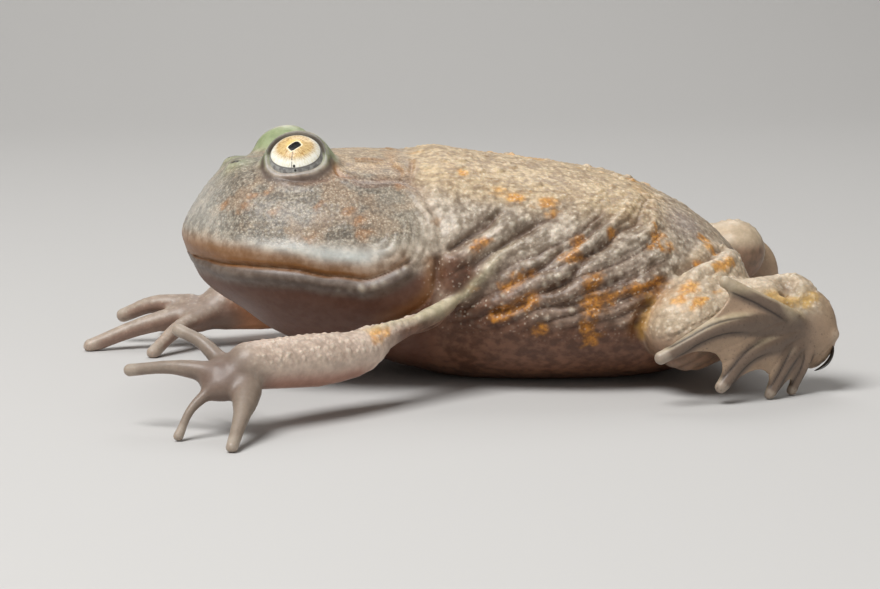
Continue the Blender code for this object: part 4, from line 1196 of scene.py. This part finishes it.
class Finish:
    """A material, built one node at a time in front of its shader."""

    def __init__(self, name, **constants):
        self.material = bpy.data.materials.new(name)
        self.material.use_nodes = True
        self.tree = self.material.node_tree
        self.shader = self.tree.nodes["Principled BSDF"]
        self.place = self.node("TexCoord", {}, "Object")
        for socket, value in constants.items():
            self.shader.inputs[socket.replace("_", " ")].default_value = value

    def put(self, socket, value):
        if isinstance(value, bpy.types.NodeSocket):
            self.tree.links.new(value, socket)
        else:
            socket.default_value = value

    def node(self, kind, inputs, output=0, **settings):
        made = self.tree.nodes.new("ShaderNode" + kind)
        for name, value in settings.items():
            setattr(made, name, value)
        for key, value in inputs.items():
            self.put(made.inputs[key], value)
        return made.outputs[output]

    def math(self, operation, a, b=0.0):
        return self.node("Math", {0: a, 1: b}, operation=operation)

    def mask(self, name, strength=1.0):
        return self.math("MULTIPLY", self.node("Attribute", {}, "Fac", attribute_name=name), strength)

    def noise(self, size, detail=3.0, place=None):
        """Noise about 0.5 with waves as long as size, in millimetres."""
        inputs = {"Vector": place or self.place, "Scale": 1 / (size * MM), "Detail": detail}
        return self.node("TexNoise", inputs, "Fac")

    def grains(self, size, metric="F1"):
        """Distance from the middle of the nearest grain, 0 to about 1; size in millimetres."""
        inputs = {"Vector": self.place, "Scale": 1 / (size * MM)}
        return self.node("TexVoronoi", inputs, "Distance", feature=metric)

    def ramp(self, value, low, high):
        inputs = {"Value": value, "From Min": low, "From Max": high}
        return self.node("MapRange", inputs, interpolation_type="SMOOTHSTEP")

    def mix(self, factor, a, b):
        a, b = (linear(c) if isinstance(c, tuple) else c for c in (a, b))
        return self.node("Mix", {0: factor, 6: a, 7: b}, 2, data_type="RGBA")

    def shaded(self, colour, value):
        """The colour made darker or lighter by a value about 1."""
        return self.node("HueSaturation", {"Color": colour, "Value": value}, "Color")

    def bump(self, height, distance, strength, below=None):
        inputs = {"Height": height, "Distance": distance * MM, "Strength": strength}
        if below:
            inputs["Normal"] = below
        return self.node("Bump", inputs, "Normal")

    def finish(self, colour, roughness, normal):
        for socket, value in (("Base Color", colour), ("Roughness", roughness), ("Normal", normal)):
            self.put(self.shader.inputs[socket], value)
        return self.material


GREY_LIGHT, GREY_DARK = (198, 184, 166), (138, 123, 105)
SAND_LIGHT, SAND_DARK = (203, 178, 139), (164, 137, 103)
HEAD_LIGHT, HEAD_DARK = (160, 149, 132), (98, 90, 78)
# The belly's brown, darker than its own colour as painted shade.
SHADED_UNDERSIDE_LIGHT, SHADED_UNDERSIDE_DARK = (106, 55, 20), (80, 38, 9)
# Orange for the tops of back and limbs, and a darker one for the flank: that darkness is partly painted shade.
ORANGE_HIGH, ORANGE_LOW = ((238, 178, 82), (208, 140, 54)), ((206, 136, 34), (130, 78, 10))
# Colours laid over the mottled ones in this order: mask, strength, colour.
LAYERS = (
    ("leg", 0.75, (206, 184, 154)),
    ("arm", 0.75, (214, 191, 174)),
    ("foot", 0.8, (182, 164, 134)),
    # the belly's brown with painted shade on undersides, lower flank, inner legs, neck and flank
    ("underside_and_shade", 0.9, "underside_and_shade"),
    # the jaw's underside, its colour darkened as painted shade
    ("throat", 0.95, (88, 46, 24)),
    ("pink", 0.8, (142, 80, 58)),
    # painted light and a warm tint on the far forearm
    ("far_arm_tint_and_light", 0.8, (232, 164, 118)),
    ("sole", 0.9, (102, 82, 69)),
    ("web", 0.75, (176, 149, 122)),
    ("hand", 0.85, (125, 112, 98)),
    ("palm", 0.85, (92, 64, 54)),
    ("green", 0.8, (142, 160, 112)),
    ("lid_shade", 0.9, (84, 69, 60)),
    # pale lid rims, partly a painted highlight
    ("lid", 0.8, (168, 162, 158)),
    ("lower_lip", 0.82, (76, 59, 51)),
    ("lilac", 0.5, (178, 166, 162)),
    # painted highlight: a pale bluish reflection on cheeks and snout
    ("painted_highlight", 0.8, (188, 192, 188)),
    ("rusty", 0.55, (172, 116, 58)),
    # painted shade: dark brown in grooves, folds, wrinkles and hollows
    ("groove_shade", 0.78, (82, 48, 26)),
    ("yellow", 0.65, (210, 164, 72)),
    ("pale", 0.65, (228, 217, 196)),
    ("orange", 0.84, "orange"),
    ("lip", 0.95, (132, 80, 10)),
    # pale crest of the arm ridge, partly a painted highlight
    ("ridge", 0.65, (206, 196, 162)),
    # pale finger and toe tips, and a painted highlight on the heel knob
    ("tip", 0.5, (182, 168, 152)),
    # painted shade: near black in creases, nostrils and beneath the upper lids' edges
    ("crease_shadow", 0.9, (40, 30, 26)),
)


def skin_material():
    """Mottled, granular, slightly wet skin, its colours laid over each other by the skin's masks, among them painted
    shade in grooves, creases and undersides and a painted highlight on cheeks and snout.
    """
    finish = Finish(
        "frog_skin", Subsurface_Weight=0.12, Subsurface_Scale=1.0 * MM, Subsurface_Radius=(1.0, 0.55, 0.35),
        Coat_Roughness=0.24,
    )
    broad, mottle, fine = finish.noise(6.0), finish.noise(1.5, 4.0), finish.noise(0.45, 3.0)
    coarse_grain, fine_grain = finish.grains(0.8), finish.grains(0.42)
    rough, head = finish.mask("rough"), finish.mask("fine")
    blotch = finish.ramp(finish.math("ADD", mottle, finish.math("MULTIPLY", broad, 0.6)), 0.62, 0.98)
    grey = finish.mix(blotch, GREY_DARK, GREY_LIGHT)
    sand = finish.mix(blotch, SAND_DARK, SAND_LIGHT)
    freckled = finish.ramp(finish.noise(0.8, 3.0), 0.32, 0.68)
    varied = {
        "underside_and_shade": finish.mix(blotch, SHADED_UNDERSIDE_DARK, SHADED_UNDERSIDE_LIGHT),
        # the darker flank orange is partly painted shade
        "orange": finish.mix(
            finish.math("MAXIMUM", finish.mask("sand"), finish.math("MAXIMUM", finish.mask("leg", 0.8), finish.mask("arm", 0.9))),
            finish.mix(freckled, ORANGE_LOW[1], ORANGE_LOW[0]), finish.mix(freckled, ORANGE_HIGH[1], ORANGE_HIGH[0]),
        ),
    }
    salt = finish.ramp(finish.math("ADD", finish.noise(0.5, 3.0), finish.math("MULTIPLY", mottle, 0.4)), 0.5, 0.9)
    grey = finish.mix(head, grey, finish.mix(salt, HEAD_DARK, HEAD_LIGHT))
    colour = finish.mix(finish.mask("sand"), grey, sand)
    warm = finish.math("MULTIPLY", finish.ramp(broad, 0.48, 0.62), finish.mask("fine", 0.35))
    colour = finish.mix(warm, colour, (176, 140, 104))
    for name, strength, layer in LAYERS:
        colour = finish.mix(finish.mask(name, strength), colour, varied.get(layer, layer))
    patchy = finish.ramp(mottle, 0.4, 0.58)
    for grain, area, speck, gap in ((coarse_grain, rough, 0.5, 0.28), (fine_grain, head, 0.5, 0.46)):
        grain_top = finish.math("MULTIPLY", finish.ramp(grain, 0.36, 0.12), patchy)
        grain_top = finish.math("MULTIPLY", finish.math("MULTIPLY", grain_top, area), speck)
        colour = finish.mix(grain_top, colour, (224, 213, 193))
        # Painted shade between the granules.
        between = finish.math("MULTIPLY", finish.ramp(grain, 0.42, 0.8), area)
        colour = finish.mix(finish.math("MULTIPLY", between, gap), colour, (88, 70, 54))
    freckle = finish.math("MULTIPLY", finish.ramp(finish.noise(0.5, 1.0), 0.62, 0.74), finish.mask("sole", 0.35))
    colour = finish.mix(freckle, colour, (58, 44, 38))
    value = finish.math("ADD", 0.72, finish.math("MULTIPLY", finish.math("ADD", mottle, fine), 0.3))
    colour = finish.shaded(colour, value)
    dark = finish.math("MAXIMUM", finish.mask("underside_and_shade", 0.14), finish.mask("throat", 0.1))
    finish.put(finish.shader.inputs["Coat Weight"], finish.math("SUBTRACT", 0.22, dark))
    roughness = finish.math("ADD", 0.34, finish.math("MULTIPLY", finish.math("ADD", fine, broad), 0.2))
    # the painted highlight is a little glossier too
    roughness = finish.math("SUBTRACT", roughness, finish.mask("painted_highlight", 0.12))
    normal = finish.bump(finish.noise(0.3, 4.0), 0.08, 0.45)
    height = finish.math("MULTIPLY", finish.ramp(coarse_grain, 0.5, 0.05), rough)
    normal = finish.bump(height, 0.16, 0.5, normal)
    height = finish.math("MULTIPLY", finish.ramp(fine_grain, 0.5, 0.05), head)
    normal = finish.bump(height, 0.1, 0.5, normal)
    return finish.finish(colour, roughness, normal)


# Across and up along the eyeball's surface, from the middle of the pupil.
IRIS_MIDDLE = (0.0, 0.4)
IRIS_RADII = (4.95, 4.45)
PUPIL_MIDDLE = (0.14, 0.06, 0)
PUPIL_SIDES = ((1.0, -0.24, 0), (-0.2, 1.0, 0))  # how far along each the pupil reaches is 1 at its edge
IRIS_NOTCHES = (((0.45, -3.7), 0.32), ((0.7, -4.4), 0.3))  # dark marks in the lower edge, with their radii
EYE_COUNTS = (120, 90)


def eye_material():
    """A gold iris with fine rays and flecks round a dark pupil, a cream ring and a grey-white edge."""
    finish = Finish("frog_eye", Coat_Roughness=0.08, Specular_IOR_Level=0.2)
    place = finish.node("Attribute", {}, "Vector", attribute_name="iris")
    ray = finish.node("VectorMath", {0: place}, "Vector", operation="NORMALIZE")
    from_middle = finish.node("VectorMath", {0: place, 1: (*IRIS_MIDDLE, 0)}, "Vector", operation="SUBTRACT")
    from_middle = finish.node("VectorMath", {0: from_middle, 1: (*IRIS_RADII, 1)}, "Vector", operation="DIVIDE")
    share = finish.node("VectorMath", {0: from_middle}, "Value", operation="LENGTH")
    outward = finish.node("CombineXYZ", {"Z": finish.math("MULTIPLY", share, 0.45)}, "Vector")
    streak_place = finish.node("VectorMath", {0: ray, 1: outward}, "Vector", operation="ADD")
    streaks = finish.node("TexNoise", {"Vector": streak_place, "Scale": 13.0, "Detail": 5.0}, "Fac")
    flecks = finish.node("TexNoise", {"Vector": place, "Scale": 2.6, "Detail": 4.0}, "Fac")
    across, down = (
        finish.node("SeparateXYZ", {"Vector": place}, axis) for axis in ("X", "Y")
    )
    wavy = finish.math("ADD", share, finish.math("MULTIPLY", finish.math("SUBTRACT", streaks, 0.5), 0.1))
    wavy = finish.math("SUBTRACT", wavy, finish.math("MULTIPLY", down, 0.02))

    gold = finish.mix(finish.ramp(streaks, 0.3, 0.6), (176, 132, 76), (226, 198, 142))
    gold = finish.mix(finish.math("MULTIPLY", finish.ramp(flecks, 0.55, 0.72), 0.6), gold, (120, 84, 46))
    cream = finish.mix(finish.ramp(streaks, 0.3, 0.6), (238, 232, 204), (252, 250, 238))
    colour = finish.mix(finish.ramp(wavy, 0.56, 0.88), gold, cream)
    glow = finish.math("MULTIPLY", finish.ramp(wavy, 0.34, 0.2), 0.7)
    colour = finish.mix(glow, colour, (240, 208, 132))

    line = finish.math("MULTIPLY", finish.ramp(finish.math("ABSOLUTE", across), 0.16, 0.04), finish.ramp(down, 0.0, -0.5))
    line = finish.math("MULTIPLY", line, finish.ramp(flecks, 0.35, 0.55))
    colour = finish.mix(finish.math("MULTIPLY", line, 0.8), colour, (70, 48, 30))
    colour = finish.mix(finish.ramp(share, 0.965, 0.99), colour, (122, 120, 116))
    clouds = finish.node("TexNoise", {"Vector": place, "Scale": 0.9, "Detail": 3.0}, "Fac")
    outside = finish.mix(finish.ramp(clouds, 0.38, 0.62), (124, 121, 120), (166, 166, 162))
    colour = finish.mix(finish.ramp(share, 1.01, 1.05), colour, outside)
    for (notch_across, notch_up), size in IRIS_NOTCHES:
        away = finish.node("VectorMath", {0: place, 1: (notch_across, notch_up, 0)}, "Value", operation="DISTANCE")
        colour = finish.mix(finish.ramp(away, size, size * 0.5), colour, (50, 48, 46))

    from_pupil = finish.node("VectorMath", {0: place, 1: PUPIL_MIDDLE}, "Vector", operation="SUBTRACT")
    reaches = [finish.node("VectorMath", {0: from_pupil, 1: side}, "Value", operation="DOT_PRODUCT") for side in PUPIL_SIDES]
    round_edge = finish.math("SQRT", finish.math("ADD", *(finish.math("MULTIPLY", reach, reach) for reach in reaches)))
    sides = [finish.math("ABSOLUTE", reach) for reach in reaches]
    pupil = finish.math("MAXIMUM", round_edge, finish.math("MULTIPLY", finish.math("ADD", *sides), 0.84))
    pupil = finish.math("ADD", pupil, finish.math("MULTIPLY", finish.math("SUBTRACT", flecks, 0.5), 0.25))
    colour = finish.mix(finish.ramp(pupil, 1.3, 1.12), colour, (252, 238, 206))
    colour = finish.mix(finish.ramp(pupil, 1.06, 0.94), colour, (6, 6, 7))
    finish.put(finish.shader.inputs["Coat Weight"], finish.math("MULTIPLY", finish.ramp(pupil, 0.9, 1.5), 0.3))
    roughness = finish.math("ADD", 0.28, finish.math("MULTIPLY", flecks, 0.2))
    normal = finish.bump(streaks, 0.12, 0.35)
    return finish.finish(colour, roughness, normal)


def add_eye(side, material):
    """One eyeball: a ball with a slightly raised cornea over the iris, set on its own look axis."""
    look = Vector(unit(on_side(EYE_LOOK, side)))
    right = look.cross(Vector((0, 0, 1))).normalized() * -1
    upward = look.cross(right) * -1
    if upward.z < 0:
        upward.negate()
    turns, rings = EYE_COUNTS
    points, marks = [], []
    for i in range(rings + 1):
        away = math.pi * (i + 0.02) / (rings + 0.04)
        cornea = 0.12 * float(smoothstep(1.0, 0.72, away))
        for j in range(turns):
            turn = 2 * math.pi * j / turns
            aside = right * math.cos(turn) + upward * math.sin(turn)
            points.append((look * math.cos(away) + aside * math.sin(away)) * (EYE_RADIUS + cornea))
            marks.append((away * EYE_RADIUS * math.cos(turn), away * EYE_RADIUS * math.sin(turn), 0))
    faces = [
        (i * turns + j, i * turns + (j + 1) % turns, (i + 1) * turns + (j + 1) % turns, (i + 1) * turns + j)
        for i in range(rings) for j in range(turns)
    ]
    points = np.array(points) + EYES[side]
    eye = mesh_piece(f"eye_ball_{side}", points, np.array(faces), closed=True)
    layer = eye.data.attributes.new("iris", "FLOAT_VECTOR", "POINT")
    layer.data.foreach_set("vector", np.array(marks, np.float32).ravel())
    eye.data.materials.append(material)
    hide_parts(f"eye_{side}")


SPADE_BEND = 0.95  # how far the blade's middle stands out from a straight line
SPADE_COUNTS = (36, 20)


def spade_material():
    """Black horn: glossy, with fine growth lines and browner, rubbed patches."""
    finish = Finish("frog_spade", Coat_Weight=0.5, Coat_Roughness=0.12)
    stretched = finish.node("Mapping", {"Vector": finish.place, "Scale": (1.0, 1.0, 0.25)}, "Vector")
    lines = finish.noise(0.22, 3.0, stretched)
    wear = finish.noise(0.8, 3.0)
    colour = finish.mix(finish.ramp(lines, 0.4, 0.65), (12, 10, 9), (30, 24, 20))
    colour = finish.mix(finish.math("MULTIPLY", finish.ramp(wear, 0.55, 0.8), 0.5), colour, (62, 46, 34))
    roughness = finish.math("ADD", 0.22, finish.math("MULTIPLY", wear, 0.25))
    return finish.finish(colour, roughness, finish.bump(lines, 0.06, 0.5))


def add_spade(side, material):
    """One crescent-shaped horny spade on the heel's edge, pointed at both ends."""
    steps, turns = SPADE_COUNTS
    reach, width, depth = SPADE_RADII
    forward, outward, upward = axes_of(SPADE_AXIS, (0.78, 0, -0.62)).T
    centre = on_side(LEGS[side]["spade"], "right") if side == "right" else np.array(LEGS[side]["spade"])
    points = []
    for i in range(steps + 1):
        t = -1 + 2 * (i + 0.02) / (steps + 0.04)
        fullness = (1 - abs(t) ** 2.2) ** 0.6
        middle = centre + forward * reach * t + upward * SPADE_BEND * ((1 - t * t) - 0.4)
        for j in range(turns):
            turn = 2 * math.pi * j / turns
            keel = 1 + 0.25 * max(math.sin(turn), 0) ** 3
            aside = outward * width * math.cos(turn) + upward * depth * math.sin(turn) * keel
            points.append(middle + aside * fullness)
    faces = [
        (i * turns + j, i * turns + (j + 1) % turns, (i + 1) * turns + (j + 1) % turns, (i + 1) * turns + j)
        for i in range(steps) for j in range(turns)
    ]
    spade = mesh_piece(f"heel_spade_{side}", np.array(points), np.array(faces), closed=True)
    spade.data.materials.append(material)
    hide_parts(f"tubercle_{side}")


skin = build_skin()
replaced = ["head", "jaw", "torso"]
for side, arm in ARMS.items():
    replaced += [f"upper_arm_{side}", f"forearm_{side}", f"hand_{side}"]
    replaced += [f"finger_{side}_{i + 1}" for i in range(len(arm["fingers"]))]
    replaced += [f"thigh_{side}", f"shank_{side}", f"foot_{side}"]
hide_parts(*replaced)
skin.data.materials.append(skin_material())
eye_look, horn = eye_material(), spade_material()
for side in ARMS:
    add_eye(side, eye_look)
    add_spade(side, horn)

CAMERA_AZIMUTH = math.radians(-9)
CAMERA_ELEVATION = math.radians(9)
CAMERA_DISTANCE = 440.0
CAMERA_TARGET = (0.0, 0.0, 13.2)
LENS = 100.8


def add_camera():
    """The camera of the photograph: from the frog's left, a little in front and above."""
    azimuth, elevation = CAMERA_AZIMUTH, CAMERA_ELEVATION
    back = Vector((
        math.sin(azimuth) * math.cos(elevation),
        -math.cos(azimuth) * math.cos(elevation),
        math.sin(elevation),
    ))
    data = bpy.data.cameras.new("camera")
    data.lens = LENS
    data.sensor_width = 36
    data.clip_start = 0.01
    camera = bpy.data.objects.new("camera", data)
    target = Vector(np.array(CAMERA_TARGET) + SHIFT) * MM
    camera.location = target + back * CAMERA_DISTANCE * MM
    camera.rotation_euler = back.to_track_quat("Z", "Y").to_euler()
    bpy.context.scene.collection.objects.link(camera)
    bpy.context.scene.camera = camera


def add_light(name, place, size, power, colour=(1, 1, 1)):
    """A soft square light that faces the frog; the place is in metres."""
    data = bpy.data.lights.new(name, "AREA")
    data.shape = "SQUARE"
    data.size = size
    data.energy = power
    data.color = colour
    lamp = bpy.data.objects.new(name, data)
    lamp.location = place
    lamp.rotation_euler = Vector(place).to_track_quat("Z", "Y").to_euler()
    bpy.context.scene.collection.objects.link(lamp)


def add_floor():
    """A plain pale floor that curves up behind the frog."""
    depths = [-4.0, 0.5]
    radius = 0.5
    turns = np.linspace(0, math.pi / 2, 17)
    profile = [(depth, 0.0) for depth in depths]
    profile += [(depths[-1] + radius * math.sin(t), radius * (1 - math.cos(t))) for t in turns[1:]]
    profile.append((depths[-1] + radius, 1.6))
    half = 4.0
    points = np.array([(x, y, z) for y, z in profile for x in (-half, half)])
    faces = np.array([(2 * i, 2 * i + 1, 2 * i + 3, 2 * i + 2) for i in range(len(profile) - 1)])
    mesh = bpy.data.meshes.new("floor")
    mesh.from_pydata(points.tolist(), [], faces.tolist())
    mesh.shade_smooth()
    floor = bpy.data.objects.new("floor", mesh)
    bpy.context.scene.collection.objects.link(floor)
    made = bpy.data.materials.new("floor")
    made.use_nodes = True
    shader = made.node_tree.nodes["Principled BSDF"]
    shader.inputs["Base Color"].default_value = (0.56, 0.55, 0.535, 1)
    shader.inputs["Roughness"].default_value = 0.9
    mesh.materials.append(made)


add_camera()
add_floor()
add_light("key", (-0.36, -0.3, 0.76), 0.45, 8.5)
add_light("fill", (0.5, -0.9, 0.3), 0.8, 1.2)
add_light("rim", (0.15, 0.6, 0.7), 0.5, 2.0)
world = bpy.data.worlds.new("studio")
world.use_nodes = True
world.node_tree.nodes["Background"].inputs["Color"].default_value = (1.0, 0.96, 0.91, 1)
world.node_tree.nodes["Background"].inputs["Strength"].default_value = 0.16
bpy.context.scene.world = world
bpy.context.scene.view_settings.view_transform = "Standard"
